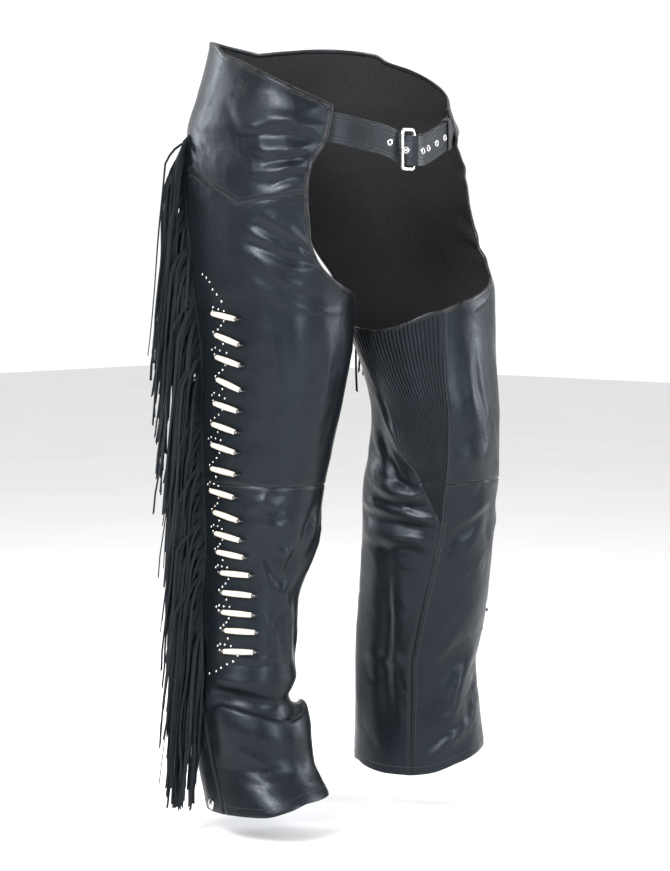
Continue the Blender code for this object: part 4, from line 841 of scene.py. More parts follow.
def rounded_bar(wide: float, high: float, corner: float, steps: int = 3) -> Array:
    """Outline of a flat bar with quarter-round corners.

    Args:
        wide: Full width.
        high: Full height.
        corner: Corner radius.
        steps: Steps in a quarter round.

    Returns:
        The outline's points in turn.
    """
    turn = np.linspace(0, math.pi / 2, steps + 1)
    outline = []
    for k, (sx, sy) in enumerate(((1, 1), (-1, 1), (-1, -1), (1, -1))):
        angle = turn + k * math.pi / 2
        centre = np.array([sx * (wide / 2 - corner), sy * (high / 2 - corner)])
        outline.append(centre + np.stack([np.cos(angle), np.sin(angle)], -1) * corner)
    return np.concatenate(outline)


def turned(profile: Array, sides: int) -> tuple[Array, Array]:
    """A profile of (radius, height) turned about the Z axis, its ends on the axis closed by tiny rings.

    Args:
        profile: Points from one pole to the other.
        sides: Facets round the axis.

    Returns:
        Points ring by ring, and quads with the two small end rings closed across.
    """
    angle = 2 * math.pi * np.arange(sides) / sides
    radius = np.maximum(profile[:, 0], 1e-6)
    points = np.stack([
        radius[:, None] * np.cos(angle), radius[:, None] * np.sin(angle),
        np.broadcast_to(profile[:, 1:], (len(profile), sides)),
    ], -1)
    return points, grid_quads(len(profile), sides, ring=True)


def scattered(shape: Shape, points: Array, quads: Array, places: Array, frames: Array,
              caps: Sequence[Sequence[int]] = ()) -> None:
    """Copies of one small body, each point carried as place + frame times point.

    Args:
        shape: What the copies are added to.
        points: The body's points round its own origin.
        quads: Its faces.
        places: Where each copy goes.
        frames: A 3 by 3 matrix for each copy, its columns the body's own axes.
        caps: End faces of the body.
    """
    flat = points.reshape(-1, 3)
    quads, turned_caps = outward(flat, quads, caps)
    moved = places[:, None] + np.einsum("nij,mj->nmi", frames, flat)
    step = np.arange(len(places))[:, None, None] * len(flat)
    all_caps = [[k + n * len(flat) for k in cap] for n in range(len(places)) for cap in turned_caps]
    shape.add(moved, quads[None] + step, caps=all_caps)


def frames_from(first: Array, third: Array) -> Array:
    """Matrices whose third column is a given unit vector and whose first is nearest to another."""
    third = unit(third)
    first = unit(first - third * (first * third).sum(-1, keepdims=True))
    return np.stack([first, np.cross(third, first), third], -1)


class Wiring:
    """A small helper that adds nodes to a material and links them."""

    def __init__(self, name: str) -> None:
        """Start a material with only a Principled BSDF and its output."""
        self.material = bpy.data.materials.new(name)
        self.material.use_nodes = True
        self.tree = self.material.node_tree
        self.shader = self.tree.nodes["Principled BSDF"]

    def node(self, kind: str, inputs: dict[str | int, object] | None = None, **settings: object) -> bpy.types.Node:
        """Add a node.

        Args:
            kind: Its type's name after ShaderNode.
            inputs: Values or output sockets for its inputs, by name or index.
            settings: Its own properties.

        Returns:
            The node.
        """
        item = self.tree.nodes.new("ShaderNode" + kind)
        for key, value in settings.items():
            setattr(item, key, value)
        for key, value in (inputs or {}).items():
            self.set(item, key, value)
        return item

    def set(self, item: bpy.types.Node, key: str | int, value: object) -> None:
        """Give one input a value or a link."""
        if isinstance(value, bpy.types.NodeSocket):
            self.tree.links.new(value, item.inputs[key])
        else:
            item.inputs[key].default_value = value

    def where(self) -> bpy.types.NodeSocket:
        """Object coordinates, in metres."""
        return self.node("TexCoord").outputs["Object"]

    def noise(self, scale: float, detail: float = 2.0, at: bpy.types.NodeSocket | None = None,
              distort: float = 0.0) -> bpy.types.NodeSocket:
        """Noise value at a scale in cells a metre."""
        inputs: dict[str | int, object] = {"Scale": scale, "Detail": detail, "Distortion": distort}
        inputs["Vector"] = at or self.where()
        return self.node("TexNoise", inputs).outputs["Fac"]

    def cells(self, scale: float, feature: str = "F1", at: bpy.types.NodeSocket | None = None) -> bpy.types.NodeSocket:
        """Distance value of cells at a scale in cells a metre."""
        inputs: dict[str | int, object] = {"Scale": scale, "Vector": at or self.where()}
        return self.node("TexVoronoi", inputs, feature=feature).outputs["Distance"]

    def ramp(self, value: bpy.types.NodeSocket, low: float, high: float, to_low: float = 0.0,
             to_high: float = 1.0) -> bpy.types.NodeSocket:
        """Value carried smoothly from one range to another and held there."""
        inputs: dict[str | int, object] = {
            "Value": value, "From Min": low, "From Max": high, "To Min": to_low, "To Max": to_high,
        }
        return self.node("MapRange", inputs, interpolation_type="SMOOTHSTEP").outputs["Result"]

    def maths(self, kind: str, a: object, b: object = 0.0) -> bpy.types.NodeSocket:
        """One arithmetic step."""
        return self.node("Math", {0: a, 1: b}, operation=kind).outputs[0]

    def blend(self, share: object, a: Sequence[float] | bpy.types.NodeSocket,
              b: Sequence[float] | bpy.types.NodeSocket) -> bpy.types.NodeSocket:
        """Colour between two colours."""
        item = self.node("Mix", {"Factor": share}, data_type="RGBA")
        for socket, value in ((item.inputs[6], a), (item.inputs[7], b)):
            if isinstance(value, bpy.types.NodeSocket):
                self.tree.links.new(value, socket)
            else:
                socket.default_value = (*value, 1.0)
        return item.outputs[2]

    def bump(self, height: bpy.types.NodeSocket, depth: float, strength: float = 1.0,
             over: bpy.types.NodeSocket | None = None) -> bpy.types.NodeSocket:
        """Bump of a depth in metres over another."""
        inputs: dict[str | int, object] = {"Height": height, "Distance": depth, "Strength": strength}
        if over is not None:
            inputs["Normal"] = over
        return self.node("Bump", inputs).outputs["Normal"]

    def wear_and_highlight(self) -> bpy.types.NodeSocket:
        """The mesh's own share of rubbing and painted highlight, or of random tone on the fringe."""
        return self.node("Attribute", attribute_name="wear_and_highlight").outputs["Fac"]


@dataclass(frozen=True)
class GrainLeather:
    """Dyed leather with a fine pebble grain, hairline creases, and polished high places and edges lightened by rubbing
    and painted highlight.
    """

    name: str
    colour: tuple[float, float, float] = (0.0030, 0.0044, 0.0058)
    # Lighter colour taken on fold crests, turned edges and beside seams: rubbing and painted highlight.
    worn_and_highlight_colour: tuple[float, float, float] = (0.017, 0.0155, 0.015)
    roughness: float = 0.33
    grain: float = 760.0
    grain_depth: float = 0.00016
    crease_depth: float = 0.00016
    coat: float = 0.07

    def build(self) -> bpy.types.Material:
        """Wire the leather.

        Returns:
            The material.
        """
        w = Wiring(self.name)
        wear_and_highlight, where = w.wear_and_highlight(), w.where()
        warp = w.node("TexNoise", {"Vector": where, "Scale": 40.0, "Detail": 3.0}).outputs["Color"]
        shifted = w.node("VectorMath", {0: warp, 3: 0.012}, operation="SCALE").outputs[0]
        at = w.node("VectorMath", {0: where, 1: shifted}, operation="ADD").outputs[0]
        pebble = w.ramp(w.cells(self.grain, at=at), 0.05, 0.62)
        pore = w.noise(2600.0, 2.0)
        web = w.ramp(w.cells(64.0, "DISTANCE_TO_EDGE", at), 0.0, 0.075)
        finer = w.ramp(w.cells(170.0, "DISTANCE_TO_EDGE", at), 0.0, 0.10)
        patches = w.ramp(w.noise(11.0, 3.0), 0.46, 0.74)
        creased = w.maths("MULTIPLY", w.maths("SUBTRACT", 1.0, web), patches)
        relief = w.bump(w.maths("SUBTRACT", 1.0, creased), self.crease_depth, 0.7)
        relief = w.bump(finer, self.crease_depth * 0.35, 0.5, relief)
        relief = w.bump(pebble, self.grain_depth, 0.65, relief)
        relief = w.bump(pore, self.grain_depth * 0.5, 0.5, relief)
        relief = w.bump(w.noise(30.0, 3.0, distort=0.5), 0.0016, 0.40, relief)
        w.set(w.shader, "Normal", relief)
        cloud = w.noise(5.0, 3.0)
        tone = w.blend(w.ramp(cloud, 0.32, 0.70), self.colour, tuple(c * 1.5 + 0.001 for c in self.colour))
        # Painted highlight with rubbing: the colour goes to the lighter colour where the mesh's share is high, on fold
        # crests, turned edges and beside seams.
        rub_and_highlight = w.maths("MULTIPLY", wear_and_highlight, w.ramp(w.noise(130.0, 4.0), 0.36, 0.62))
        w.set(w.shader, "Base Color", w.blend(rub_and_highlight, tone, self.worn_and_highlight_colour))
        rough = w.ramp(w.noise(22.0, 4.0), 0.30, 0.72, self.roughness - 0.06, self.roughness + 0.10)
        rough = w.maths("ADD", rough, w.maths("MULTIPLY", creased, 0.10))
        rough = w.maths("SUBTRACT", rough, w.maths("MULTIPLY", wear_and_highlight, 0.07))
        w.set(w.shader, "Roughness", rough)
        w.shader.inputs["Specular IOR Level"].default_value = 0.20
        w.shader.inputs["Specular Tint"].default_value = (0.71, 0.84, 1.0, 1.0)
        w.shader.inputs["Coat Weight"].default_value = self.coat
        w.shader.inputs["Coat Roughness"].default_value = 0.22
        return w.material


@dataclass(frozen=True)
class Suede:
    """Napped leather: matt, soft at grazing angles, with a fine short fibre."""

    name: str
    colour: tuple[float, float, float] = (0.0026, 0.0036, 0.0044)
    light: tuple[float, float, float] = (0.0085, 0.0110, 0.0130)
    sheen: float = 0.05

    def build(self) -> bpy.types.Material:
        """Wire the nap.

        Returns:
            The material.
        """
        w = Wiring(self.name)
        fibre = w.noise(1900.0, 3.0)
        brushed = w.noise(420.0, 4.0, distort=0.6)
        mix = w.maths("MULTIPLY", w.ramp(brushed, 0.34, 0.70), w.ramp(fibre, 0.25, 0.75, 0.35, 1.0))
        # Lighter where the mesh's share is high: random tone on fringe strands, and rubbing and painted highlight on
        # the flesh side of panels.
        mix = w.maths("ADD", mix, w.maths("MULTIPLY", w.wear_and_highlight(), 0.5))
        w.set(w.shader, "Base Color", w.blend(mix, self.colour, self.light))
        w.set(w.shader, "Roughness", w.ramp(fibre, 0.2, 0.8, 0.72, 0.90))
        relief = w.bump(brushed, 0.0004, 0.5)
        w.set(w.shader, "Normal", w.bump(fibre, 0.00022, 0.8, relief))
        w.shader.inputs["Sheen Weight"].default_value = self.sheen
        w.shader.inputs["Sheen Roughness"].default_value = 0.45
        w.shader.inputs["Specular IOR Level"].default_value = 0.22
        w.shader.inputs["Specular Tint"].default_value = (0.76, 0.87, 1.0, 1.0)
        return w.material


@dataclass(frozen=True)
class PolishedBone:
    """Cream bone with brown hairline grain along the bead and a soft polish."""

    name: str
    colour: tuple[float, float, float] = (0.54, 0.505, 0.435)
    grain: tuple[float, float, float] = (0.44, 0.34, 0.23)

    def build(self) -> bpy.types.Material:
        """Wire the bone; its map runs along the bead.

        Returns:
            The material.
        """
        w = Wiring(self.name)
        along = w.node("TexCoord").outputs["UV"]
        drawn = w.node("Mapping", {"Vector": along, "Scale": (9.0, 220.0, 1.0)}).outputs["Vector"]
        streak = w.noise(1.0, 4.0, drawn)
        fleck = w.noise(1500.0, 2.0)
        share = w.maths("MULTIPLY", w.ramp(streak, 0.52, 0.74), 0.55)
        tint = w.blend(share, self.colour, self.grain)
        w.set(w.shader, "Base Color", w.blend(w.ramp(fleck, 0.62, 0.80, 0.0, 0.18), tint, self.grain))
        w.set(w.shader, "Roughness", w.ramp(streak, 0.3, 0.8, 0.22, 0.40))
        w.set(w.shader, "Normal", w.bump(streak, 0.00012, 0.6))
        w.shader.inputs["Subsurface Weight"].default_value = 0.12
        w.shader.inputs["Subsurface Radius"].default_value = (0.0020, 0.0014, 0.0009)
        w.shader.inputs["Coat Weight"].default_value = 0.35
        w.shader.inputs["Coat Roughness"].default_value = 0.12
        return w.material


@dataclass(frozen=True)
class Nickel:
    """Nickel plate with fine scratches and faint clouding."""

    name: str
    colour: tuple[float, float, float] = (0.60, 0.59, 0.575)
    dull: tuple[float, float, float] = (0.30, 0.29, 0.28)
    roughness: float = 0.19

    def build(self) -> bpy.types.Material:
        """Wire the plate.

        Returns:
            The material.
        """
        w = Wiring(self.name)
        cloud = w.ramp(w.noise(160.0, 4.0), 0.35, 0.72)
        scratch = w.noise(900.0, 3.0, distort=1.5)
        w.set(w.shader, "Base Color", w.blend(w.maths("MULTIPLY", cloud, 0.5), self.colour, self.dull))
        w.set(w.shader, "Roughness", w.ramp(scratch, 0.3, 0.75, self.roughness - 0.05, self.roughness + 0.14))
        w.set(w.shader, "Normal", w.bump(scratch, 0.00004, 0.5))
        w.shader.inputs["Metallic"].default_value = 1.0
        return w.material


@dataclass(frozen=True)
class WaxedThread:
    """Black sewing thread with a twist that shows as slanting ridges."""

    name: str
    colour: tuple[float, float, float] = (0.010, 0.010, 0.011)
    roughness: float = 0.42

    def build(self) -> bpy.types.Material:
        """Wire the thread.

        Returns:
            The material.
        """
        w = Wiring(self.name)
        twist = w.noise(1400.0, 1.0)
        w.set(w.shader, "Base Color", w.blend(w.ramp(twist, 0.35, 0.7), self.colour, (0.035, 0.034, 0.034)))
        w.set(w.shader, "Normal", w.bump(twist, 0.0002, 0.7))
        w.shader.inputs["Roughness"].default_value = self.roughness
        return w.material


@dataclass(frozen=True)
class StudioFloor:
    """Pale matt floor with the least unevenness."""

    name: str = "studio_floor"

    def build(self) -> bpy.types.Material:
        """Wire the floor.

        Returns:
            The material.
        """
        w = Wiring(self.name)
        w.set(w.shader, "Base Color", w.blend(w.ramp(w.noise(3.0, 3.0), 0.3, 0.7), (0.88, 0.88, 0.88), (0.90, 0.90, 0.90)))
        w.shader.inputs["Roughness"].default_value = 0.85
        return w.material


@dataclass(frozen=True)
class Finishes:
    """Every finish on the garment, built once."""

    leather: bpy.types.Material
    flesh: bpy.types.Material
    ribbed: bpy.types.Material
    binding: bpy.types.Material
    belt: bpy.types.Material
    fringe: bpy.types.Material
    bone: bpy.types.Material
    nickel: bpy.types.Material
    aged_nickel: bpy.types.Material
    thread: bpy.types.Material
    lace: bpy.types.Material

    @classmethod
    def make(cls) -> Finishes:
        """Build each finish."""
        return cls(
            leather=GrainLeather("black_chap_leather").build(),
            flesh=Suede("flesh_side", (0.010, 0.0098, 0.0098), (0.020, 0.019, 0.0185), 0.0).build(),
            ribbed=GrainLeather("ribbed_leather", (0.0018, 0.0026, 0.0034), roughness=0.42, coat=0.05).build(),
            # The second colour of binding and belt is their lighter colour for rubbing and painted highlight on edges
            # and crests.
            binding=GrainLeather("edge_binding", (0.0045, 0.0048, 0.0052), (0.026, 0.022, 0.020), 0.34).build(),
            belt=GrainLeather("belt_leather", (0.0060, 0.0068, 0.0078), (0.028, 0.026, 0.025), 0.40, 620.0,
                              coat=0.06).build(),
            fringe=Suede("fringe_suede").build(),
            bone=PolishedBone("polished_bone").build(),
            nickel=Nickel("nickel_plate").build(),
            aged_nickel=Nickel("aged_nickel", (0.15, 0.147, 0.144), (0.04, 0.039, 0.038), 0.28).build(),
            thread=WaxedThread("waxed_thread").build(),
            lace=WaxedThread("bead_lace", (0.010, 0.011, 0.012), 0.55).build(),
        )


def dress(piece: bpy.types.Object, slot: Slot, *nodes: str) -> bpy.types.Object:
    """Fix a piece to the garment's body and hide the frame's nodes that it stands for."""
    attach(piece, BODY)
    if nodes:
        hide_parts(*nodes)
    return piece


@dataclass
class Leather:
    """A cut panel of leather as a closed shell: its grid of places, and which of its edges are sewn or turned."""

    form: Form
    grid: Array
    sewn: tuple[str, ...]
    turned: tuple[str, ...] = ()
    seam_depth: float = 0.0012
    seam_width: float = 0.0034

    def distances(self, points: Array) -> dict[str, Array]:
        """Metres from each point of the grid to each of its four edges, along its rows and columns."""
        across = np.linalg.norm(np.diff(points, axis=1), axis=-1)
        down = np.linalg.norm(np.diff(points, axis=0), axis=-1)
        left = np.pad(np.cumsum(across, 1), ((0, 0), (1, 0)))
        top = np.pad(np.cumsum(down, 0), ((1, 0), (0, 0)))
        return {"left": left, "right": left[:, -1:] - left, "top": top, "bottom": top[-1:] - top}

    def surfaces(self, raised: Array | None = None) -> tuple[Array, Array, Array, Array]:
        """Outer and inner points of the shell.

        The outer face is the form with a soft rumple, dipped towards each sewn edge and rounded at each turned
        one; the inner face lies a wall's thickness behind it.

        Args:
            raised: Further height of the outer face at each grid point, or none.

        Returns:
            Outer points, inner points, map coordinates, and a share of rubbing and painted highlight.
        """
        phi, h = self.grid[..., 0], self.grid[..., 1]
        base = self.form.place(phi, h)
        rumple = self.form.rumple(base)
        normal = unit(np.cross(np.gradient(base, axis=1), np.gradient(base, axis=0)))
        out = self.form.facing(phi[::9, ::9], h[::9, ::9])
        normal *= np.sign((normal[::9, ::9] * out).sum())
        gaps = self.distances(base)
        height = rumple * 1.0
        for edge in self.sewn:
            height -= self.seam_depth * (1 - ease(gaps[edge] / self.seam_width))
            height += 0.0003 * np.exp(-(((gaps[edge] - 0.0055) / 0.0022) ** 2))
        for edge in self.turned:
            height -= 0.0006 * (1 - ease(gaps[edge] / 0.0012))
        around = (phi + 180.0) % 360.0 - 180.0
        # Painted highlight with rubbing: fold crests, turned edges and a band beside each seam get a share that
        # lightens their colour.
        wear_and_highlight = 0.34 * ease((self.form.relief(around, h) + rumple - 0.0016) / 0.0034)
        for edge in self.turned:
            wear_and_highlight += 0.7 * (1 - ease(gaps[edge] / 0.0040))
        for edge in self.sewn:
            wear_and_highlight += 0.22 * np.exp(-(((gaps[edge] - 0.0050) / 0.0020) ** 2))
        lift = height if raised is None else height + raised
        maps = np.stack([np.radians(phi) * 0.095, h], -1)
        inner = base + normal * (rumple - WALL)[..., None]
        return base + normal * lift[..., None], inner, maps, np.clip(wear_and_highlight, 0, 1)

    def shell(self, raised: Array | None = None) -> tuple[Shape, Array]:
        """Closed shell of the panel, its inner face on the second material.

        Args:
            raised: Further height of the outer face.

        Returns:
            The shape and its outer points.
        """
        outer, inner, maps, wear_and_highlight = self.surfaces(raised)
        rows, cols = outer.shape[:2]
        points = np.stack([outer, inner])
        size = rows * cols
        rim = np.concatenate([
            np.arange(cols), np.arange(1, rows) * cols + cols - 1,
            (rows - 1) * cols + np.arange(cols - 2, -1, -1), np.arange(rows - 2, 0, -1) * cols,
        ])
        nxt = np.roll(rim, -1)
        faces = np.concatenate([
            grid_quads(rows, cols), grid_quads(rows, cols, flip=True) + size,
            np.stack([nxt, rim, rim + size, nxt + size], -1),
        ])
        faces, _ = outward(points, faces)
        slots = np.repeat([0, 1, 0], [len(grid_quads(rows, cols))] * 2 + [len(rim)])
        shape = Shape()
        shape.add(points, faces, np.stack([maps, maps]), np.stack([wear_and_highlight, wear_and_highlight]), slots)
        return shape, outer


@dataclass(frozen=True)
class StitchRow:
    """A run of sewing: stitches of one length laid end to end along a line."""

    length: float = 0.0024
    step: float = 0.0034
    thread: float = 0.00042
    slant: float = 0.10

    def body(self) -> tuple[Array, Array, list[list[int]]]:
        """One stitch along X: a rod whose ends taper into the leather."""
        x = np.array([-0.5, -0.28, 0.28, 0.5]) * self.length
        path = np.stack([x, np.zeros(4), np.array([-0.9, 0.25, 0.25, -0.9]) * self.thread], -1)
        aside, up = np.broadcast_to([0.0, 1.0, 0.0], (4, 3)), np.broadcast_to([0.0, 0.0, 1.0], (4, 3))
        return sweep(path, aside, up, circle(self.thread, 5), grow=np.array([0.55, 1.0, 1.0, 0.55]))

    def sew(self, shape: Shape, points: Array, normals: Array) -> None:
        """Lay stitches along a line of points.

        Args:
            shape: What they are added to.
            points: The line, on the leather's outer face.
            normals: Directions out of the leather.
        """
        length = np.concatenate([[0.0], np.cumsum(np.linalg.norm(np.diff(points, axis=0), axis=-1))])
        count = max(int(length[-1] / self.step), 1)
        at = (np.arange(count) + 0.5) * length[-1] / count

        def read(values: Array, where: Array) -> Array:
            """Values along the line at given lengths."""
            return np.stack([np.interp(where, length, values[:, k]) for k in range(3)], -1)

        middle, normal = read(points, at), unit(read(normals, at))
        course = unit(read(points, at + self.length / 2) - read(points, at - self.length / 2))
        course = unit(course + np.cross(normal, course) * self.slant)
        scattered(shape, *self.body()[:2], middle, frames_from(course, normal), self.body()[2])


@dataclass
class Edging:
    """A binding folded over a raw edge, following the edge's own folds."""

    form: Form
    line: Array
    inside: Place
    wide: float = 0.0062

    def lane(self, offset: float) -> Array:
        """The edge moved into the panel by an offset, whichever way that is."""
        moved = self.form.lane(self.line, 0.004)
        middle = len(self.line) // 2
        probe = self.form.place(np.array(self.inside[0]), np.array(self.inside[1]))
        here, there = (self.form.place(*line[middle]) for line in (self.line, moved))
        way = 1.0 if np.linalg.norm(there - probe) < np.linalg.norm(here - probe) else -1.0
        return self.form.lane(self.line, way * offset)

    def surface(self, offset: float, height: float) -> Array:
        """Points a height above the leather along the edge moved in by an offset."""
        return self.form.skin(*self.lane(offset).T, height)[0]

    def add_to(self, shape: Shape) -> None:
        """Close the folded strip round the edge.

        The section runs up over the outer face, round the edge and back along the inner face.

        Args:
            shape: What it is added to.
        """
        # The third number of each station is a share of rubbing and painted highlight, highest on the rolled edge.
        stations = (
            (self.wide, 0.0001, 0.6), (self.wide - 0.0004, 0.0008, 1.0), (self.wide * 0.55, 0.0011, 0.3),
            (0.0012, 0.0010, 0.6), (0.0, 0.0005, 1.0), (-0.0007, -0.0005, 1.0), (-0.0006, -WALL - 0.0002, 0.7),
            (0.0006, -WALL - 0.0009, 0.3), (self.wide * 0.5, -WALL - 0.0009, 0.1), (self.wide - 0.001, -WALL - 0.0001, 0.1),
        )
        rings = np.stack([self.surface(offset, height) for offset, height, _ in stations], 1)
        n, m = rings.shape[:2]
        wear_and_highlight = np.broadcast_to([w for _, _, w in stations], (n, m))
        quads = grid_quads(n, m, ring=True)
        caps = [list(range(m))[::-1], [(n - 1) * m + k for k in range(m)]]
        quads, caps = outward(rings, quads, caps)
        length = np.concatenate([[0], np.cumsum(np.linalg.norm(np.diff(rings[:, 0], axis=0), axis=-1))])
        maps = np.stack(np.broadcast_arrays(length[:, None], np.arange(m) * 0.001), -1)
        shape.add(rings, quads, maps, wear_and_highlight, caps=caps)


@dataclass
class Leg:
    """One leg of the chaps with its half of the yoke: five panels, their edgings and all their sewing."""

    side: Side
    finishes: Finishes
    form: Form = field(init=False)
    lines: dict[str, Array] = field(init=False)
    sewing: Shape = field(default_factory=Shape)
    edging: Shape = field(default_factory=Shape)

    across_yoke: int = 126
    down_yoke: int = 50
    across: int = 100
    down_thigh: int = 150
    down_shin: int = 168
    across_back: int = 84
    ribs: int = 23
    rib_height: float = 0.0013

    def __post_init__(self) -> None:
        """Work out the form and the lines that the panels share."""
        self.form = Form(self.side)
        side = self.side.value
        hem = np.array(HEM[side], float)
        inner_hem = (170.5, float(np.interp(170.5, *hem.T)))
        outer_hem = (-3.0, float(hem[0, 1]))
        scoop, thigh_steps, shin_steps = SCOOP[side], self.down_thigh, self.down_shin
        scoop_steps = int(thigh_steps * 0.42)
        stretch_steps = thigh_steps - scoop_steps
        tip_steps = int(shin_steps * 0.13)
        front_steps = (int(self.across * 0.56), self.across - int(self.across * 0.56))
        stretch_back = [STRETCH_TOP[side][-1]] + STRETCH_BACK
        tip = ((STRETCH_FRONT[-1][0] + STRETCH_BACK[-1][0]) / 2, STRETCH_FRONT[-1][1] - 0.001)
        turned_hem = [p for p in HEM[side] if 171 < p[0] < 356]
        self.lines = {
            "front_seam": join(curve(YOKE_SEAM[2:6], front_steps[0]), curve([*YOKE_SEAM[5:], scoop[0]], front_steps[1])),
            "back_seam": curve(YOKE_SEAM[:3], 26),
            "knee": curve(KNEE_SEAM, self.across),
            "scoop": curve(scoop, scoop_steps),
            "stretch_front": curve([STRETCH_TOP[side][0]] + STRETCH_FRONT[:5], stretch_steps),
            "stretch_tip": curve(STRETCH_FRONT[4:], tip_steps),
            "stretch_back": curve(stretch_back, stretch_steps + tip_steps),
            "inseam": curve([tip] + INSEAM + [inner_hem], shin_steps - tip_steps),
            "thigh_side": self.side_seam(0.476, 0.893, thigh_steps),
            "shin_side": self.side_seam(outer_hem[1], 0.476, shin_steps),
            "hem_front": curve([outer_hem] + [p for p in HEM[side] if 0 < p[0] < 170] + [inner_hem], self.across),
            "hem_back": curve([inner_hem, *turned_hem, (357.0, outer_hem[1])], self.across_back),
            "seat": curve(SEAT, self.across_back - 26),
            "stretch_top": curve(STRETCH_TOP[side], self.ribs * 6),
            "yoke_top": curve(YOKE_TOP, self.across_yoke),
            "yoke_front": curve(YOKE_FRONT[side], self.down_yoke),
            "yoke_back": curve([YOKE_TOP[0], YOKE_BACK[0]], self.down_yoke),
            "yoke_low_back": curve([*YOKE_BACK, YOKE_SEAM[0]], 16),
        }

    def side_seam(self, low: float, high: float, count: int) -> Array:
        """Places down the side seam between two heights."""
        table = np.array(SIDE_SEAM[::-1])
        h = np.linspace(high, low, count + 1)
        return np.stack([pchip(table[:, 0], table[:, 1:], h)[..., 0], h], -1)

    def declare(self, shape: Shape, name: str,
                finish: bpy.types.Material, slot: Slot) -> bpy.types.Object:
        """Make a panel's object and dress it."""
        piece = dress(shape.build(f"panel_{name}", [finish, self.finishes.flesh]), slot, name)
        return piece

    def build_panels(self) -> None:
        """Make the yoke, thigh front, shin front and leg back."""
        line, side = self.lines, self.side.value
        whole_turn = np.array([-360.0, 0.0])
        yoke_low = join(line["yoke_low_back"], line["back_seam"], line["front_seam"])
        top = curve(YOKE_TOP, len(yoke_low) - 1)
        plans = (
            (f"yoke_{side}", patch(top, yoke_low, line["yoke_back"], line["yoke_front"]),
             ("left", "bottom"), ("top", "right"), "draped", f"belt_strap_{self.side.value}"),
            (f"thigh_front_{side}",
             patch(line["front_seam"], line["knee"], line["thigh_side"], join(line["scoop"], line["stretch_front"])),
             ("top", "bottom", "left", "right"), (), "hung", f"yoke_{side}"),
            (f"shin_front_{side}",
             patch(line["knee"], line["hem_front"], line["shin_side"], join(line["stretch_tip"], line["inseam"])),
             ("top", "left", "right"), ("bottom",), "hung", f"thigh_front_{side}"),
            (f"leg_back_{side}",
             patch(join(line["seat"], line["back_seam"]), line["hem_back"] + whole_turn,
                   self.back_inner_edge() + whole_turn, join(line["thigh_side"], line["shin_side"])),
             ("top", "left", "right"), ("bottom",), "hung", f"yoke_{side}"),
        )
        for name, grid, sewn, turned_edges, held, rests in plans:
            panel = Leather(self.form, grid, sewn, turned_edges)
            shape, outer = panel.shell()
            self.declare(shape, name, self.finishes.leather, Slot.PANEL)

    def back_inner_edge(self) -> Array:
        """The leg back's inner edge: down the stretch panel's back and on down the inseam, in even steps."""
        whole = np.concatenate([self.lines["stretch_back"], self.lines["inseam"][1:]])
        length = lines_length(whole)
        at = np.linspace(0, length[-1], self.down_thigh + self.down_shin + 1)
        return np.stack([np.interp(at, length, whole[:, k]) for k in (0, 1)], -1)

    def build_stretch(self) -> None:
        """The ribbed panel: leather gathered over elastic into upright ribs that draw together at the knee.

        Each rib is half a sine wave across, so the outer face is |sin| and the troughs are sharp.
        """
        line, side = self.lines, self.side.value
        left, right = join(line["stretch_front"], line["stretch_tip"]), line["stretch_back"]
        bottom = np.linspace(left[-1], right[-1], self.ribs * 6 + 1)
        top = curve([left[0], *STRETCH_TOP[side][1:-1], right[0]], self.ribs * 6)
        grid = patch(top, bottom, left, right)
        base = self.form.place(grid[..., 0], grid[..., 1])
        pitch = np.linalg.norm(base[:, -1] - base[:, 0], axis=-1) / self.ribs
        wave = np.abs(np.sin(math.pi * np.arange(grid.shape[1]) / 6))
        gathers = 1 + 0.25 * soft_noise(base, 0.012, 17)
        raised = np.minimum(self.rib_height, 0.26 * pitch)[:, None] * wave[None] ** 0.7 * gathers
        panel = Leather(self.form, grid, (), ("top",))
        shape, outer = panel.shell(raised)
        self.declare(shape, f"stretch_panel_{side}",
                     self.finishes.ribbed, Slot.STRETCH)

    def sew(self, line: Array, offset: float, rows: StitchRow = StitchRow()) -> None:
        """Sew along a line moved sideways on the leather's outer face."""
        moved = self.form.lane(line, offset) if offset else line
        rows.sew(self.sewing, *self.form.skin(*moved.T))

    def build_sewing(self) -> None:
        """All topstitching of the leg in one piece: beside each seam, and in from each turned edge."""
        line, way = self.lines, -self.side.sign
        beside = 0.0024 * way
        self.sew(line["front_seam"], beside * 1.1)
        self.sew(line["front_seam"], beside * 3.6)
        self.sew(line["back_seam"], beside * 1.1)
        self.sew(line["back_seam"], beside * 3.6)
        self.sew(line["knee"], beside)
        self.sew(line["knee"], -beside)
        self.sew(line["inseam"], beside * -1.1)
        self.sew(line["inseam"], beside * -3.0)
        self.sew(line["stretch_front"], -beside)
        self.sew(join(line["stretch_tip"], line["inseam"][:3]), -beside)
        self.sew(line["stretch_back"], beside)
        self.sew(join(line["thigh_side"], line["shin_side"]), -beside * 1.6)
        for hem in ("hem_front", "hem_back"):
            raised = line[hem] + np.array([0.0, 0.011])
            self.sew(raised, 0.0)
        self.sew(line["yoke_top"] - np.array([0.0, 0.0078]), 0.0)
        dress(self.sewing.build(f"stitching_{self.side.value}", [self.finishes.thread]), Slot.PANEL)

    def build_edging(self) -> None:
        """Bindings of the waist, the front opening and the seat."""
        line = self.lines
        plans = (
            (line["yoke_top"], (-20.0, 1.00)),
            (join(line["yoke_front"], line["scoop"]), (10.0, 0.88)),
            (line["stretch_top"], (170.0, 0.62)),
            (line["seat"], (-60.0, 0.80)),
        )
        for places, inside in plans:
            Edging(self.form, places, inside).add_to(self.edging)
        dress(self.edging.build(f"edge_binding_{self.side.value}", [self.finishes.binding]), Slot.PANEL)


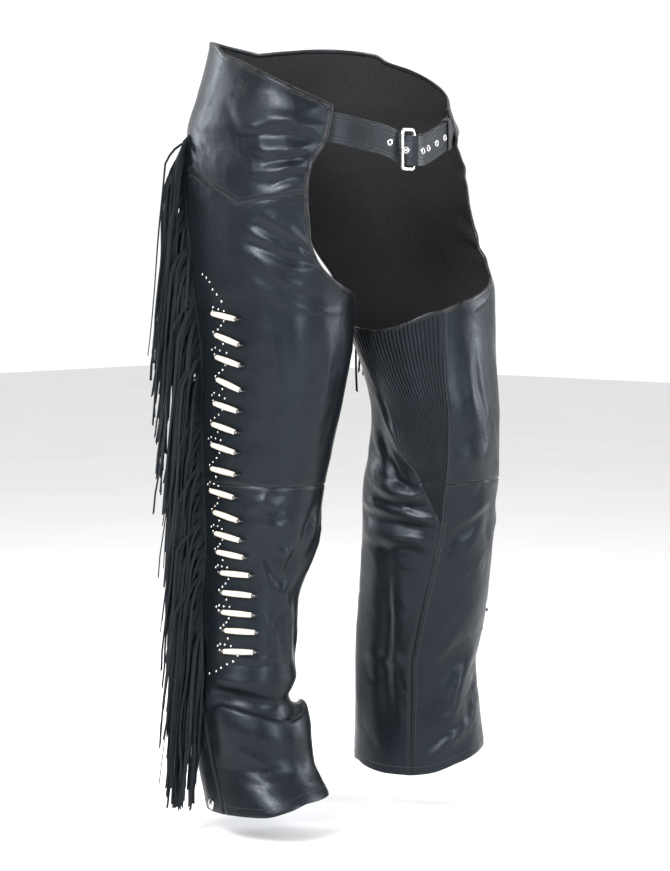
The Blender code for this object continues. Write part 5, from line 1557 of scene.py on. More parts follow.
@dataclass
class Fringe:
    """Suede strands cut from a strip that is sewn into the side seam, hanging free of the leg."""

    side: Side
    form: Form
    finishes: Finishes
    finer: int = 4
    stations: int = 14
    wide: float = 0.0038
    thick: float = 0.0011
    roots: Array = field(init=False)
    frame: tuple[Array, Array] = field(init=False)

    def __post_init__(self) -> None:
        """Find the seam's points and the level directions out of it and forward."""
        edges = np.linspace(FRINGE_LOW, FRINGE_TOP, STRANDS + 1)
        self.roots = (edges[1:] + edges[:-1]) / 2
        out = self.form.facing(*self.seam(self.roots))
        out[:, 2] = 0
        out = unit(unit(out).mean(0))
        self.frame = (out, np.array([out[1], -out[0], 0.0]) * self.side.sign)

    def seam(self, h: Array) -> tuple[Array, Array]:
        """Angles and heights down the side seam."""
        table = np.array(SIDE_SEAM[::-1])
        return pchip(table[:, 0], table[:, 1:], h)[..., 0], h

    def wall_out(self, h: Array) -> Array:
        """How far out the side seam's leather lies at each height."""
        steps = np.linspace(0.04, 0.96, 70)
        return np.interp(h, steps, self.form.place(*self.seam(steps)) @ self.frame[0])

    def lanes(self) -> Array:
        """Where the strands hang: root height, length, place forward and reach at floor level, lowest first.

        Strands take eight places forward in turn. One that would fall on another of its own place hangs a
        strand's width further out.
        """
        rng = np.random.default_rng(7 if self.side is Side.RIGHT else 11)
        base = self.form.place(*self.seam(self.roots))
        out, fore = self.frame
        rows: list[tuple[float, float, float, float]] = []
        for k, root in enumerate(self.roots):
            lane = LANES[k % len(LANES)] - (len(LANES) - 1) / 2
            across = float(base[k] @ fore) + lane * LANE_WIDTH
            reach = float(base[k] @ out) + STRAND_REACH + STRAND_LEAN * (root - STRAND_BEND)
            length = min(rng.uniform(0.258, 0.296), root - rng.uniform(0.030, 0.050))
            for low, _, other, further in rows:
                if abs(across - other) < STRAND_APART and root - length < low:
                    reach = max(reach, further + STRAND_APART)
            rng.choice([-1, 1])
            rng.uniform(0.3, 1.2)
            rows.append((root, length, across, reach))
        return np.array(rows)

    def strands(self) -> Shape:
        """All strands as thin flat bars.

        Each runs from the seam out over a quadratic arc and then down its lane, with a slow sine sway that grows
        towards the tip and a twist about its own length. The last ring is sheared for a slanted cut.
        """
        rng = np.random.default_rng(101 if self.side is Side.RIGHT else 102)
        out, fore = self.frame
        lanes = np.repeat(self.lanes(), self.finer, axis=0)
        n, m = len(lanes), self.stations
        step = (FRINGE_TOP - FRINGE_LOW) / n
        root_h = FRINGE_LOW + step * (np.arange(n) + 0.5)
        start = self.form.skin(*self.seam(root_h), 0.0010)[0] + fore * rng.uniform(-0.0008, 0.0008, (n, 1))
        length = lanes[:, 1] - rng.uniform(0.0, 0.022, n) * (rng.random(n) < 0.6)
        tip_h = np.maximum(root_h - length, 0.036 if self.side is Side.RIGHT else 0.060)
        across = lanes[:, 2] + rng.uniform(-0.0032, 0.0032, n)
        inner = rng.random(n) < 0.66
        reach = lanes[:, 3] + np.where(inner, rng.uniform(-0.030, -0.012, n), rng.uniform(-0.015, -0.003, n))
        margin = rng.uniform(0.0030, 0.0065, n)[:, None]
        bend_h = root_h - STRAND_BEND * rng.uniform(0.7, 1.2, n)
        bend_out = np.maximum(reach - STRAND_LEAN * bend_h, self.wall_out(bend_h) + margin[:, 0])
        bend = out * bend_out[:, None] + fore * across[:, None]
        bend[:, 2] = bend_h - WAIST_H
        elbow = start + (bend - start) * np.array([0.66, 0.66, 0.16])
        arc_steps = 5
        s = np.linspace(0, 1, arc_steps)[None, :, None]
        arc = (1 - s) ** 2 * start[:, None] + 2 * s * (1 - s) * elbow[:, None] + s**2 * bend[:, None]
        t = np.linspace(0, 1, m - arc_steps + 1)[None, 1:]
        fall_h = bend_h[:, None] + (tip_h - bend_h)[:, None] * t
        phase, waves = rng.uniform(0, 2 * math.pi, (2, n, 1)), rng.uniform(0.5, 1.5, (2, n, 1))
        swing = rng.uniform(0.0010, 0.0042, (2, n, 1)) * ease(t * 2.2) * (0.5 + t)
        sway = swing * (np.sin(2 * math.pi * waves * t + phase) - np.sin(phase))
        fall_out = reach[:, None] - STRAND_LEAN * fall_h - 0.6 * np.abs(sway[0])
        fall_out = np.maximum(fall_out, self.wall_out(fall_h) + margin)
        fall = out * fall_out[..., None] + fore * (across[:, None] + sway[1])[..., None]
        fall[..., 2] = fall_h - WAIST_H
        path = np.concatenate([arc, fall], 1)
        course = unit(np.gradient(path, axis=1))
        side_way = unit(fore - course * (course @ fore)[..., None])
        flat = np.cross(side_way, course)
        run = np.linspace(0, 1, m)[None]
        turn = rng.uniform(-1.5, 1.5, (n, 1)) * ease((run - 0.22) * 1.9) + rng.uniform(-0.9, 0.9, (n, 1)) * run
        turn = turn[..., None]
        wide_way = flat * np.cos(turn) + side_way * np.sin(turn)
        thin_way = side_way * np.cos(turn) - flat * np.sin(turn)
        width = self.wide * rng.uniform(0.80, 1.12, (n, 1)) * (1 - 0.25 * run + 0.08 * np.sin(9 * run + phase[0]))
        corners = np.array([(1, 1), (-1, 1), (-1, -1), (1, -1)]) / 2
        points = (
            path[:, :, None] + wide_way[:, :, None] * (width[..., None] * corners[:, 0])[..., None]
            + thin_way[:, :, None] * (self.thick * corners[:, 1])[None, None, :, None]
        )
        slant = rng.uniform(-0.0024, 0.0024, (n, 1)) * corners[:, 0] * 2
        points[:, -1] += course[:, -1][:, None] * slant[..., None]
        quads = grid_quads(m, 4, ring=True)
        caps = [[3, 2, 1, 0], [(m - 1) * 4 + k for k in range(4)]]
        quads, caps = outward(points[0], quads, caps)
        ends = np.array(caps)
        quads = np.concatenate([quads, ends])[None] + np.arange(n)[:, None, None] * m * 4
        gaps = np.linalg.norm(np.diff(path, axis=1), axis=-1)
        along = np.pad(np.cumsum(gaps, 1), ((0, 0), (1, 0)))
        maps = np.stack(np.broadcast_arrays(np.arange(4) * 0.003 + 0.0, along[..., None]), -1)
        tone = np.broadcast_to(rng.uniform(0.0, 0.9, (n, 1, 1)), (n, m, 4))
        shape = Shape()
        shape.add(points, quads, maps, tone)
        return shape

    def build(self) -> None:
        """The strands, the rolled strip that they are cut from, and its uncut margin drooping from the seam."""
        shape = self.strands()
        out, fore = self.frame
        h = np.linspace(FRINGE_LOW - 0.006, FRINGE_TOP + 0.004, 240)
        path, up = self.form.skin(*self.seam(h), 0.0006)
        aside = unit(np.cross(np.gradient(path, axis=0), up))
        points, quads, caps = sweep(path, aside, up, rounded_bar(0.0056, 0.0032, 0.0013, 2))
        shape.add(points, quads, caps=caps)
        droop = np.broadcast_to(unit(out * 0.74 - np.array([0.0, 0.0, 0.67])), path.shape)
        band = path + droop * (0.0060 + 0.0006 * np.sin(h * 390.0))[:, None]
        across = np.broadcast_to(fore, path.shape)
        points, quads, caps = sweep(band, droop, across, rounded_bar(0.0128, 0.0013, 0.0004, 2))
        shape.add(points, quads, caps=caps)
        dress(shape.build(f"suede_fringe_{self.side.value}", [self.finishes.fringe]), Slot.FRINGE,
              f"fringe_{self.side.value}")


@dataclass
class LegTrim:
    """Bone beads laced on in a column, nickel studs strewn round them, and the snap at the hem."""

    side: Side
    form: Form
    finishes: Finishes
    bone_radius: tuple[float, float] = (0.0033, 0.0041)
    ball_radius: float = 0.0025
    stud_radius: float = 0.0019

    def bead_line(self, number: int, row: Sequence[float]) -> tuple[Array, Array, Array]:
        """Ends of a bead's middle line and the way out, lifted until its whole length is clear of the leather."""
        p0, h0, p1, h1 = row
        ts = np.linspace(0, 1, 13)
        phi, h = p0 + (p1 - p0) * ts, h0 + (h1 - h0) * ts
        under = self.form.place(phi, h)
        normal = self.form.facing((p0 + p1) / 2, (h0 + h1) / 2)
        chord = under[-1] - under[0]
        chord -= normal * (chord @ normal)
        half = unit(chord) * min(float(np.linalg.norm(chord)), 0.041) / 2
        middle = (under[0] + under[-1]) / 2
        radius = np.interp(ts, [0, 0.5, 1], [0.0031, 0.0045, 0.0031])
        line = middle - half + 2 * half * ts[:, None]
        sides = np.linspace(-0.9, 0.9, 7)[:, None]
        sample = self.form.place(phi + 0 * sides, h + sides * radius)
        need = (sample - line) @ normal + radius * np.sqrt(1 - sides**2)
        lift = max(float(need.max()), 0.0) + CLEAR - (0.0008 if (self.side, number) in SETTLED else 0.0002)
        return line[0] + normal * lift, line[-1] + normal * lift, normal

    def build_beads(self) -> None:
        """Each bead: a bone tube fuller in the middle, a nickel ball at each end, and the lace through them.

        Tube and balls are profiles of radius against length turned about the bead's own line; the lace leaves the
        balls and bends down into the leather.
        """
        share = np.array([0.0, 0.0, 0.012, 0.05, 0.13, 0.24, 0.36, 0.5, 0.64, 0.76, 0.87, 0.95, 0.988, 1.0, 1.0])
        low, high = self.bone_radius
        bone_r = (low + (high - low) * np.sin(math.pi * share)) * np.array([0.40, 0.84] + [1.0] * 11 + [0.84, 0.40])
        polar = np.linspace(0.12, math.pi - 0.12, 9)
        for number, row in enumerate(BEADS, 1):
            start, end, normal = self.bead_line(number, row)
            axis, length = unit(end - start), float(np.linalg.norm(end - start))
            frame = frames_from(normal[None], axis[None])
            shape = Shape()
            ball = self.ball_radius
            beyond = ball * 0.75
            for profile, sides, slot in (
                (np.stack([bone_r, share * length], -1), 22, 0),
                (np.stack([np.sin(polar), -np.cos(polar)], -1) * ball - [0, beyond], 16, 1),
                (np.stack([np.sin(polar), -np.cos(polar)], -1) * ball + [0, length + beyond], 16, 1),
            ):
                points, quads = turned(profile, sides)
                count = len(profile)
                caps = [list(range(sides))[::-1], [(count - 1) * sides + k for k in range(sides)]]
                quads, caps = outward(points, quads, caps)
                along, about = np.broadcast_arrays(profile[:, 1:], np.arange(sides) / sides)
                shape.add(start + points @ frame[0].T, quads, np.stack([along, about], -1), slot=slot, caps=caps)
            for point, way in ((start - axis * 1.5 * ball, -axis), (end + axis * 1.5 * ball, axis)):
                turn = np.linspace(0, math.pi / 2, 6)[:, None]
                path = point - way * 0.001 + way * 0.0024 * np.sin(turn) - normal * 0.0058 * (1 - np.cos(turn))
                course = unit(np.gradient(path, axis=0))
                aside = np.broadcast_to(np.cross(axis, normal), path.shape)
                points, quads, caps = sweep(path, aside, np.cross(course, aside), circle(0.0009, 8))
                shape.add(points, quads, slot=2, caps=caps)
            piece = shape.build(f"bone_bead_{self.side.value}_{number:02d}",
                                [self.finishes.bone, self.finishes.aged_nickel, self.finishes.lace])
            dress(piece, Slot.BONE, f"bead_{self.side.value}_{number:02d}")

    def stud_places(self) -> Array:
        """Where the studs are, as (angle, height): two lines at the top, groups between beads, one line below."""
        rng = np.random.default_rng(31 if self.side is Side.RIGHT else 32)
        places = list(STUD_TOP) + list(STUD_END)
        for k, (upper, lower) in enumerate(zip(BEADS[:-1], BEADS[1:])):
            for share, forward in AFTER_EVEN if k % 2 else AFTER_ODD:
                h = upper[1] + (lower[1] - upper[1]) * share
                phi = upper[0] + (lower[0] - upper[0]) * share + math.degrees(forward * 1e-3 / 0.090)
                slope = (upper[3] - upper[1]) / (upper[2] - upper[0])
                places.append((phi, h + slope * (phi - upper[0]) * 0.55))
        return np.array(places) + rng.normal(0, (0.35, 0.0004), (len(places), 2))

    def build_studs(self) -> None:
        """Domed studs with a low rim, pressed into the leather."""
        angle = np.linspace(0.30, math.pi / 2 - 0.05, 4)
        dome = np.stack([np.cos(angle), 0.18 + 0.62 * np.sin(angle)], -1) * self.stud_radius
        profile = np.concatenate([[[0.92 * self.stud_radius, -0.0004], [1.0 * self.stud_radius, 0.0003]], dome])
        points, quads = turned(profile, 10)
        caps = [list(range(10))[::-1], [(len(profile) - 1) * 10 + k for k in range(10)]]
        centres, normals = self.form.skin(*self.stud_places().T)
        shape = Shape()
        scattered(shape, points, quads, centres, frames_from(np.broadcast_to([0.3, 0.2, 1.0], normals.shape), normals), caps)
        dress(shape.build(f"studs_{self.side.value}", [self.finishes.nickel]), Slot.NICKEL)

    def build_snap(self) -> None:
        """The snap's cap: a low dome in a rolled rim, turned about the leather's normal."""
        phi, h = -24.0, 0.047 if self.side is Side.RIGHT else 0.064
        centre, normal = self.form.skin(phi, h)
        ring = np.linspace(0, 2 * math.pi, 25)[:-1]
        round_it = self.form.skin(phi + np.degrees(np.cos(ring) * 0.0075 / 0.08), h + np.sin(ring) * 0.0075)[0]
        lift = max(float(((round_it - centre) @ normal).max()), 0.0) + CLEAR
        profile = np.array([
            (0.0068, -0.0012), (0.0073, 0.0002), (0.0075, 0.0010), (0.0072, 0.0016), (0.0066, 0.0018), (0.0061, 0.0014),
            (0.0057, 0.0015), (0.0050, 0.0022), (0.0040, 0.0026), (0.0026, 0.0029), (0.0010, 0.0030),
        ])
        points, quads = turned(profile, 32)
        caps = [list(range(32))[::-1], [(len(profile) - 1) * 32 + k for k in range(32)]]
        shape = Shape()
        scattered(shape, points, quads, (centre + normal * lift)[None],
                  frames_from(np.array([[0.0, 0.0, 1.0]]), normal[None]), caps)
        dress(shape.build(f"hem_snap_{self.side.value}", [self.finishes.nickel]), Slot.NICKEL,
              f"snap_{self.side.value}")


@dataclass
class Belt:
    """The chaps' own belt: a strap from each side, a bar buckle with its prong, eyelets, keeper and stitching.

    A place round the front of the hips is an angle (0 right, 90 front, 180 left) and an offset out from the form.
    """

    finishes: Finishes
    form: Form
    metre: float = math.radians(1) * 0.1475
    prong: float = 0.0014
    bar_wide: float = 0.0050
    bar_thick: float = 0.0034

    def point(self, psi: Array | float, off: Array | float, h: Array | float | None = None) -> Array:
        """Points round the hips at the belt's own level, or at a given height."""
        psi = np.asarray(psi, float)
        h = self.level(psi) if h is None else np.broadcast_to(h, psi.shape)
        _, _, a, b, _, n, _ = np.moveaxis(pchip(self.form.rows[:, 0], self.form.rows[:, 1:], np.maximum(h, 0.945)), -1, 0)
        c, s = np.cos(np.radians(psi)), np.sin(np.radians(psi))
        r = (np.abs(c / a) ** n + np.abs(s / b) ** n) ** (-1 / n) + off
        return np.stack([-r * c, -r * s, h - WAIST_H], -1)

    def level(self, psi: Array | float) -> Array:
        """Height above the floor of the strap's middle line."""
        table = np.array(BELT_LEVEL)
        return pchip(table[:, 0], table[:, 1:], psi)[..., 0]

    def offset(self, table: Sequence[Place], psi: Array) -> Array:
        """Offset of a strap's middle out from the form, eased between a table's rows."""
        rows = np.array(table)
        return pchip(rows[:, 0], rows[:, 1:], psi)[..., 0]

    def frames(self, psi: Array, off: Array) -> tuple[Array, Array, Array]:
        """A strap's middle line with its directions up across it and out of it."""
        middle = self.point(psi, off)
        course = self.point(psi + 0.8, 0.0) - self.point(psi - 0.8, 0.0)
        up = np.cross(self.point(psi, 0.01) - self.point(psi, 0.0), course)
        up = unit(up * np.sign(up[..., 2:]))
        normal = unit(np.cross(np.gradient(middle, axis=0), up))
        return middle, up, normal * np.sign(normal[0] @ middle[0])

    def outline(self) -> Array:
        """Section of a strap: eased edges, a slight crown, and a shallow dip along each row of stitches."""
        edge = rounded_bar(BELT_WIDE, BELT_THICK, 0.0010, 3)
        x = np.linspace(BELT_WIDE / 2 - 0.0022, -BELT_WIDE / 2 + 0.0022, 33)
        rows = sum(np.exp(-(((np.abs(x) - BELT_WIDE / 2 + inset) / 0.0007) ** 2)) for inset in (0.0036, 0.0076))
        top = np.stack([x, np.full(33, BELT_THICK / 2) - 0.00035 * rows], -1)
        under = np.stack([x[::-4], np.full(9, -BELT_THICK / 2)], -1)
        return np.concatenate([edge[:4], top, edge[4:12], under, edge[12:]])

    def strap(self, name: str, psi: Array, off: Array, grow: Array | None, node: str) -> bpy.types.Object:
        """Carry the section along a strap's line.

        Args:
            name: The piece's name.
            psi: Angles along the line.
            off: Offsets out.
            grow: Scale across and through at each place, or none.
            node: The CAD node that it stands for.

        Returns:
            The piece.
        """
        middle, up, normal = self.frames(psi, off)
        outline = self.outline()
        points, quads, caps = sweep(middle, up, normal, outline, grow=grow)
        along = np.concatenate([[0], np.cumsum(np.linalg.norm(np.diff(middle, axis=0), axis=-1))])
        maps = np.stack(np.broadcast_arrays(along[:, None], outline[None, :, 0]), -1)
        # Lighter eased edges of the strap: rubbing and painted highlight.
        wear_and_highlight_share = ease((np.abs(outline[:, 0]) - BELT_WIDE / 2 + 0.0018) / 0.0016)
        shape = Shape()
        shape.add(points, quads, maps, np.broadcast_to(wear_and_highlight_share, points.shape[:2]), caps=caps)
        return dress(shape.build(name, [self.finishes.belt]), Slot.BELT, node)

    @staticmethod
    def cut(piece: bpy.types.Object, cutter: bpy.types.Object) -> None:
        """Take one solid out of another and leave only the result."""
        step = piece.modifiers.new("cut", "BOOLEAN")
        step.operation, step.solver, step.object = "DIFFERENCE", "EXACT", cutter
        graph = bpy.context.evaluated_depsgraph_get()
        mesh = bpy.data.meshes.new_from_object(piece.evaluated_get(graph))
        piece.modifiers.clear()
        piece.data = mesh
        mesh.set_sharp_from_angle(angle=math.radians(50))
        bpy.data.objects.remove(cutter, do_unlink=True)

    def holes(self) -> tuple[Array, Array]:
        """Middles of the eyelets and the directions out of the strap there."""
        psi = np.array(EYELETS)
        fine = np.concatenate([psi, psi + 0.4])
        middle = self.point(fine, self.offset(OVER, fine))
        here, course = middle[: len(psi)], middle[len(psi):] - middle[: len(psi)]
        out = self.frames(psi, self.offset(OVER, psi))[1]
        normal = unit(np.cross(course, out))
        return here, normal * np.sign((normal * here).sum(-1, keepdims=True))

    def build_right(self) -> None:
        """The strap with the eyelets; its end comes to a point."""
        psi = np.concatenate([np.linspace(24, 129.6, 260), np.linspace(129.6, 135.6, 16)[1:]])
        taper = np.interp(psi, [24, 129.6, 135.6], [1, 1, 0.06])
        grow = np.stack([taper, np.interp(psi, [24, 133, 135.6], [1, 1, 0.7])], -1)
        piece = self.strap("eyelet_strap", psi, self.offset(OVER, psi), grow, "belt_strap_right")
        here, normal = self.holes()
        rod, frames = Shape(), frames_from(np.broadcast_to([0.0, 0.0, 1.0], here.shape), normal)
        points, quads = turned(np.array([(EYELET_HOLE, -0.006), (EYELET_HOLE, 0.006)]), 24)
        caps = [list(range(24))[::-1], list(range(24, 48))]
        scattered(rod, points, quads, here, frames, caps)
        self.cut(piece, rod.build("hole_cutter", []))
        self.build_eyelets(here, frames)
        self.build_stitches("right", psi[psi < 129.6], OVER)

    def build_eyelets(self, here: Array, frames: Array) -> None:
        """A rolled nickel ring on the face of each hole and a flat one behind, round a short barrel."""
        half, middle, wide = BELT_THICK / 2, EYELET_HOLE + 0.0009, 0.0013
        turn = np.linspace(0, math.pi, 9)
        front = np.stack([middle - wide * np.cos(turn), half + 0.00095 * np.sin(turn)], -1)
        back = np.stack([middle + wide * np.cos(turn), -half - 0.00045 * np.sin(turn)], -1)
        profile = np.concatenate([front, back])
        angle = 2 * math.pi * np.arange(28) / 28
        ring = np.stack([
            profile[:, :1] * np.cos(angle), profile[:, :1] * np.sin(angle),
            np.broadcast_to(profile[:, 1:], (len(profile), 28)),
        ], -1)
        quads = grid_quads(len(profile) + 1, 28, ring=True) % (len(profile) * 28)
        shape = Shape()
        scattered(shape, ring, quads, here, frames)
        dress(shape.build("eyelets", [self.finishes.nickel]), Slot.NICKEL)

    def build_left(self) -> None:
        """The strap that holds the buckle; its end turns round the heel bar and is slotted for the prong."""
        reach = BUCKLE_ROD + CLEAR + 0.0008 + BELT_THICK / 2
        turns = np.radians(np.linspace(5, 212, 22))
        loop = np.stack([HEEL[0] - np.sin(turns) * reach / self.metre, HEEL[1] + np.cos(turns) * reach], -1)
        inside = np.array([(99.8, -0.0056), (102, -0.0068), (105, -0.0078), (109, -0.0084)])
        inside = pchip(inside[:, 0], inside, np.linspace(99.8, 109, 14))
        psi = np.linspace(156, 97.8, 130)
        line = np.concatenate([np.stack([psi, self.offset(UNDER, psi)], -1), loop, inside])
        piece = self.strap("buckle_strap", line[:, 0], line[:, 1], None, "belt_strap_left")
        along = unit(self.point(98.0, 0.0) - self.point(96.0, 0.0))
        out = unit(np.cross(along, [0.0, 0.0, 1.0]))
        middle = self.point(HEEL[0], HEEL[1])
        corners = np.array([(x, y, z) for x in (-0.009, 0.0105) for y in (-0.012, 0.009) for z in (-0.0027, 0.0027)])
        box = middle + corners @ np.stack([along, out, np.array([0.0, 0.0, 1.0])])
        faces = np.array([(0, 1, 3, 2), (4, 6, 7, 5), (0, 4, 5, 1), (2, 3, 7, 6), (0, 2, 6, 4), (1, 5, 7, 3)])
        slot = Shape()
        slot.add(box, outward(box, faces)[0])
        self.cut(piece, slot.build("slot_cutter", []))
        self.build_stitches("left", np.linspace(128, 155, 60), UNDER)

    def build_stitches(self, side: str, psi: Array, table: Sequence[Place]) -> None:
        """Two rows of stitches along each edge of a strap."""
        middle, up, normal = self.frames(psi, self.offset(table, psi))
        shape = Shape()
        for inset in (0.0036, 0.0076):
            for way in (1, -1):
                StitchRow(0.0026, 0.0036, 0.00040, 0.06).sew(
                    shape, middle + up * way * (BELT_WIDE / 2 - inset) + normal * (BELT_THICK / 2 - 0.00022), normal)
        dress(shape.build(f"belt_stitching_{side}", [self.finishes.thread]), Slot.BELT)

    def build_buckle(self) -> None:
        """The buckle's frame: a flattened bar carried round a rectangle with round corners."""
        heel, outer = self.point(*HEEL), self.point(*OUTER_BAR)
        across = (heel - outer) * [1, 1, 0]
        width = float(np.linalg.norm(across))
        across, up = unit(across), np.array([0.0, 0.0, 1.0])
        face = np.cross(across, up)
        loop = rounded_bar(width, BUCKLE_HIGH, 0.0055, 8)
        sides = np.concatenate([np.linspace(loop[k * 9 - 1], loop[k * 9], 10)[1:-1] for k in range(4)])
        order = [np.concatenate([sides[k * 8:(k + 1) * 8], loop[k * 9:(k + 1) * 9]]) for k in range(4)]
        loop = np.concatenate(order)
        path = (heel + outer) / 2 + across * loop[:, :1] + up * loop[:, 1:]
        tangent = np.roll(path, -1, 0) - np.roll(path, 1, 0)
        aside = unit(np.cross(tangent, face))
        at_heel = ease((loop[:, 0] - width / 2 + 0.004) / 0.003)[:, None]
        grow = 1 - at_heel * (1 - np.array([2 * BUCKLE_ROD / self.bar_wide, 2 * BUCKLE_ROD / self.bar_thick]))
        points, quads, _ = sweep(path, aside, np.broadcast_to(face, path.shape),
                                 rounded_bar(self.bar_wide, self.bar_thick, 0.0013, 4), True, grow)
        shape = Shape()
        shape.add(points, quads)
        dress(shape.build("buckle_frame", [self.finishes.nickel], 40.0), Slot.NICKEL, "belt_buckle_frame")

    def build_prong(self) -> None:
        """The prong: a rod hooked round the heel bar, up through an eyelet and down on the outer bar."""
        ring = BUCKLE_ROD + CLEAR + self.prong
        hook = np.radians([15, 45, 75, 105, 135, 165, 195, 225, 255])
        line = np.concatenate([
            np.stack([HEEL[0] + np.sin(hook) * ring / self.metre, HEEL[1] + np.cos(hook) * ring], -1),
            [(93.6, -0.0056), (91.2, -0.0046), (90.4, -0.0030), (89.6, 0.0020), (88.9, 0.0044),
             (86.6, OUTER_BAR[1] + self.bar_thick / 2 + self.prong), (85.3, OUTER_BAR[1] + self.bar_thick / 2 + 0.0011)],
        ])
        steps = np.hypot(np.diff(line[:, 0]) * self.metre, np.diff(line[:, 1]))
        length = np.concatenate([[0], np.cumsum(steps)])
        line = pchip(length, line, np.linspace(0, length[-1], 64))
        path = self.point(line[:, 0], line[:, 1], float(self.level(90.0)))
        course = unit(np.gradient(path, axis=0))
        up = np.broadcast_to([0.0, 0.0, 1.0], path.shape)
        grow = np.interp(np.arange(64), [0, 2, 50, 61, 63], [0.7, 1, 1, 0.85, 0.45])
        points, quads, caps = sweep(path, up, unit(np.cross(course, up)), circle(self.prong, 14), grow=grow)
        shape = Shape()
        shape.add(points, quads, caps=caps)
        dress(shape.build("buckle_prong", [self.finishes.nickel]), Slot.NICKEL, "belt_prong")

    def build_keeper(self) -> None:
        """Leather loop round both straps: a flat band with eased edges carried round a rounded rectangle."""
        psi = np.array([125.6, 127.4, 129.2])
        wall, gap = 0.0016, CLEAR + 0.0004
        over = self.offset(OVER, psi) + BELT_THICK / 2 + gap + wall / 2
        under = self.offset(UNDER, psi) - BELT_THICK / 2 - gap - wall / 2
        middle, up, _ = self.frames(psi, (over + under) / 2)
        outline = rounded_bar(BELT_WIDE + 0.0016 + wall, float((over - under)[1]), 0.0022, 5)
        outline = np.concatenate([np.linspace(outline[k - 1], outline[k], 7)[1:] for k in range(len(outline))])
        lift = (self.point(psi, 0.01) - self.point(psi, 0.0)) / 0.01
        path = middle[1] + up[1] * outline[:, :1] + lift[1] * outline[:, 1:]
        tangent = unit(np.roll(path, -1, 0) - np.roll(path, 1, 0))
        course = unit(middle[2] - middle[0])
        wide = float(np.linalg.norm(middle[2] - middle[0]))
        aside = np.broadcast_to(course, path.shape)
        points, quads, _ = sweep(path, aside, np.cross(tangent, aside), rounded_bar(wide, wall, 0.0006, 3), True)
        run = np.concatenate([[0], np.cumsum(np.linalg.norm(np.diff(path, axis=0), axis=-1))])
        section = rounded_bar(wide, wall, 0.0006, 3)
        # Lighter eased edges of the keeper: rubbing and painted highlight.
        wear_and_highlight_share = ease((np.abs(section[:, 0]) - wide / 2 + 0.0012) / 0.001)
        shape = Shape()
        shape.add(points, quads, np.stack(np.broadcast_arrays(run[:, None], section[None, :, 0]), -1),
                  np.broadcast_to(wear_and_highlight_share, points.shape[:2]))
        dress(shape.build("belt_loop", [self.finishes.belt]), Slot.BELT, "belt_keeper")


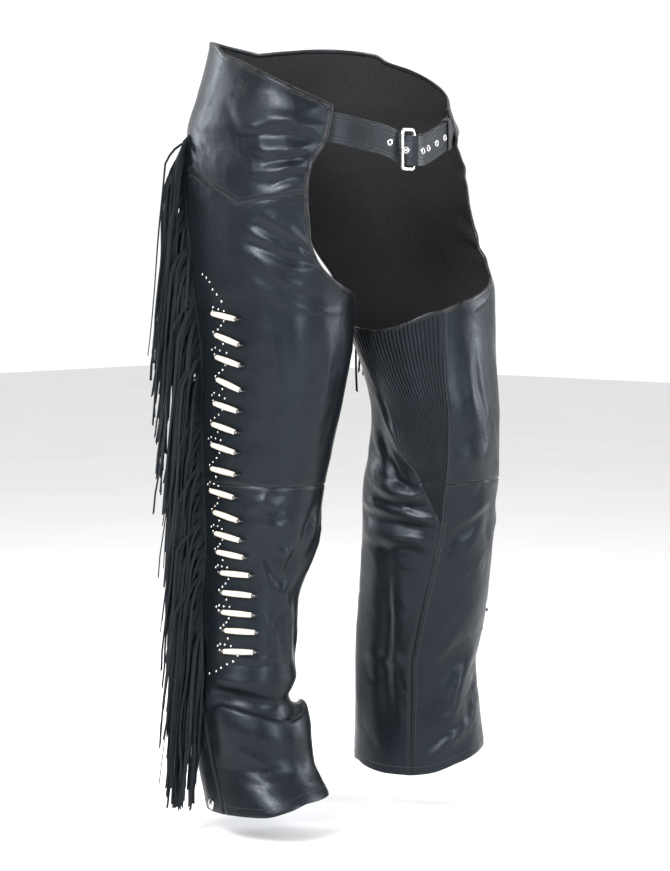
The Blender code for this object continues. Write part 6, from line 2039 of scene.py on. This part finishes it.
@dataclass
class Studio:
    """Pale floor, white surroundings, soft panels of light and the camera."""

    azimuth: float = -48.0
    elevation: float = 4.3
    distance: float = 4.0
    focal_px: float = 2905.0
    picture: tuple[int, int] = (670, 871)

    def build_floor(self) -> None:
        """A plain floor under the hem line."""
        shape = Shape()
        corner = np.array([(-9, -9, 0), (9, -9, 0), (9, 9, 0), (-9, 9, 0)], float) - [0, 0, WAIST_H]
        shape.add(corner, np.array([[0, 1, 2, 3]]))
        shape.build("floor", [StudioFloor().build()])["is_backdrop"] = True

    def build_world(self) -> None:
        """White surroundings that light the object most from the backdrop's side.

        The strength grows with the cosine between a direction and the backdrop's, and is even where the camera
        sees it straight.
        """
        world = bpy.data.worlds.new("surroundings")
        world.use_nodes = True
        nodes, links = world.node_tree.nodes, world.node_tree.links
        back = math.radians(self.azimuth)
        course = nodes.new("ShaderNodeTexCoord")
        cosine = nodes.new("ShaderNodeVectorMath")
        cosine.operation = "DOT_PRODUCT"
        cosine.inputs[1].default_value = (-0.78 * math.sin(back), 0.78 * math.cos(back), 0.62)
        fall = nodes.new("ShaderNodeMapRange")
        for key, value in (("From Min", -0.45), ("From Max", 0.85), ("To Min", 0.30), ("To Max", 1.10)):
            fall.inputs[key].default_value = value
        seen = nodes.new("ShaderNodeLightPath")
        even = nodes.new("ShaderNodeMath")
        even.operation = "MAXIMUM"
        background = nodes["Background"]
        background.inputs["Color"].default_value = (1.0, 1.0, 1.0, 1.0)
        links.new(course.outputs["Generated"], cosine.inputs[0])
        links.new(cosine.outputs["Value"], fall.inputs["Value"])
        links.new(fall.outputs["Result"], even.inputs[0])
        links.new(seen.outputs["Is Camera Ray"], even.inputs[1])
        links.new(even.outputs[0], background.inputs["Strength"])
        bpy.context.scene.world = world
        bpy.context.scene.view_settings.view_transform = "Standard"

    def light(self, name: str, azimuth: float, height: float, distance: float, size: Place, watts: float,
              tint: tuple[float, float, float], aim: float = -0.40) -> None:
        """A soft panel of light turned towards the legs.

        Args:
            name: Its name.
            azimuth: Degrees round from the camera, positive to the picture's right.
            height: Metres over the waist.
            distance: Metres from the middle.
            size: Width and height of the panel.
            watts: Power.
            tint: Colour.
            aim: Height that it is turned towards.
        """
        turn = math.radians(self.azimuth - 90 + azimuth)
        panel = bpy.data.lights.new(name, "AREA")
        panel.shape, panel.size, panel.size_y = "ELLIPSE", *size
        panel.energy, panel.color = watts, tint
        item = bpy.data.objects.new(name, panel)
        item.location = (distance * math.cos(turn), distance * math.sin(turn), height)
        way = item.location - type(item.location)((0.0, 0.0, aim))
        item.rotation_euler = way.to_track_quat("Z", "Y").to_euler()
        bpy.context.scene.collection.objects.link(item)

    def build_lights(self) -> None:
        """Key high on the left in a wide soft rim, broad fill at the front, and an edge light behind each side."""
        self.light("key_panel", -30.0, 1.15, 2.6, (0.9, 0.9), 74.0, (1.0, 0.965, 0.95), -0.30)
        self.light("key_rim", -26.0, 1.20, 2.65, (2.0, 1.7), 92.0, (1.0, 0.97, 0.955), -0.30)
        self.light("front_panel", 36.0, 0.45, 3.0, (0.9, 1.9), 66.0, (0.97, 0.98, 1.0))
        self.light("right_panel", 100.0, 0.3, 2.4, (0.6, 1.9), 46.0, (0.93, 0.96, 1.0))
        self.light("left_panel", -112.0, 0.4, 2.4, (0.6, 2.0), 46.0, (0.90, 0.94, 1.0))

    def build_camera(self) -> None:
        """A long lens at the legs' own height, turned to their outer right side."""
        lens = bpy.data.cameras.new("camera")
        lens.sensor_fit, lens.sensor_width, lens.sensor_height = "VERTICAL", 36.0, 36.0
        lens.lens = self.focal_px / self.picture[1] * 36.0
        lens.dof.use_dof = False
        item = bpy.data.objects.new("camera", lens)
        around, rise = math.radians(self.azimuth), math.radians(self.elevation)
        target = np.array([math.cos(around), math.sin(around), 0.0]) * 0.014 + [0, 0, 0.53 - WAIST_H]
        back = np.array([math.sin(around), -math.cos(around), 0.0]) * math.cos(rise) + [0, 0, math.sin(rise)]
        item.location = target + back * self.distance
        way = item.location - type(item.location)(target)
        item.rotation_euler = way.to_track_quat("Z", "Y").to_euler()
        bpy.context.scene.collection.objects.link(item)
        bpy.context.scene.camera = item


def corners() -> list[list[float]]:
    """The shown object's lowest and highest corners as plain numbers."""
    return [[float(v) for v in corner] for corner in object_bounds()]


def main() -> None:
    """Load the frame and build every piece over it."""
    logging.basicConfig(level=logging.INFO, format="%(message)s")
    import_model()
    studio = Studio()
    studio.build_camera()
    studio.build_floor()
    studio.build_world()
    studio.build_lights()
    finishes = Finishes.make()
    for side in Side:
        leg = Leg(side, finishes)
        for step in (leg.build_panels, leg.build_stretch, leg.build_edging, leg.build_sewing):
            step()
        Fringe(side, leg.form, finishes).build()
        trim = LegTrim(side, leg.form, finishes)
        for step in (trim.build_beads, trim.build_studs, trim.build_snap):
            step()
        LOG.info("%s leg built", side.value)
    belt = Belt(finishes, Form(Side.RIGHT))
    for step in (belt.build_right, belt.build_left, belt.build_buckle, belt.build_prong, belt.build_keeper):
        step()
    LOG.info("belt built")


if __name__ == "__main__":
    main()
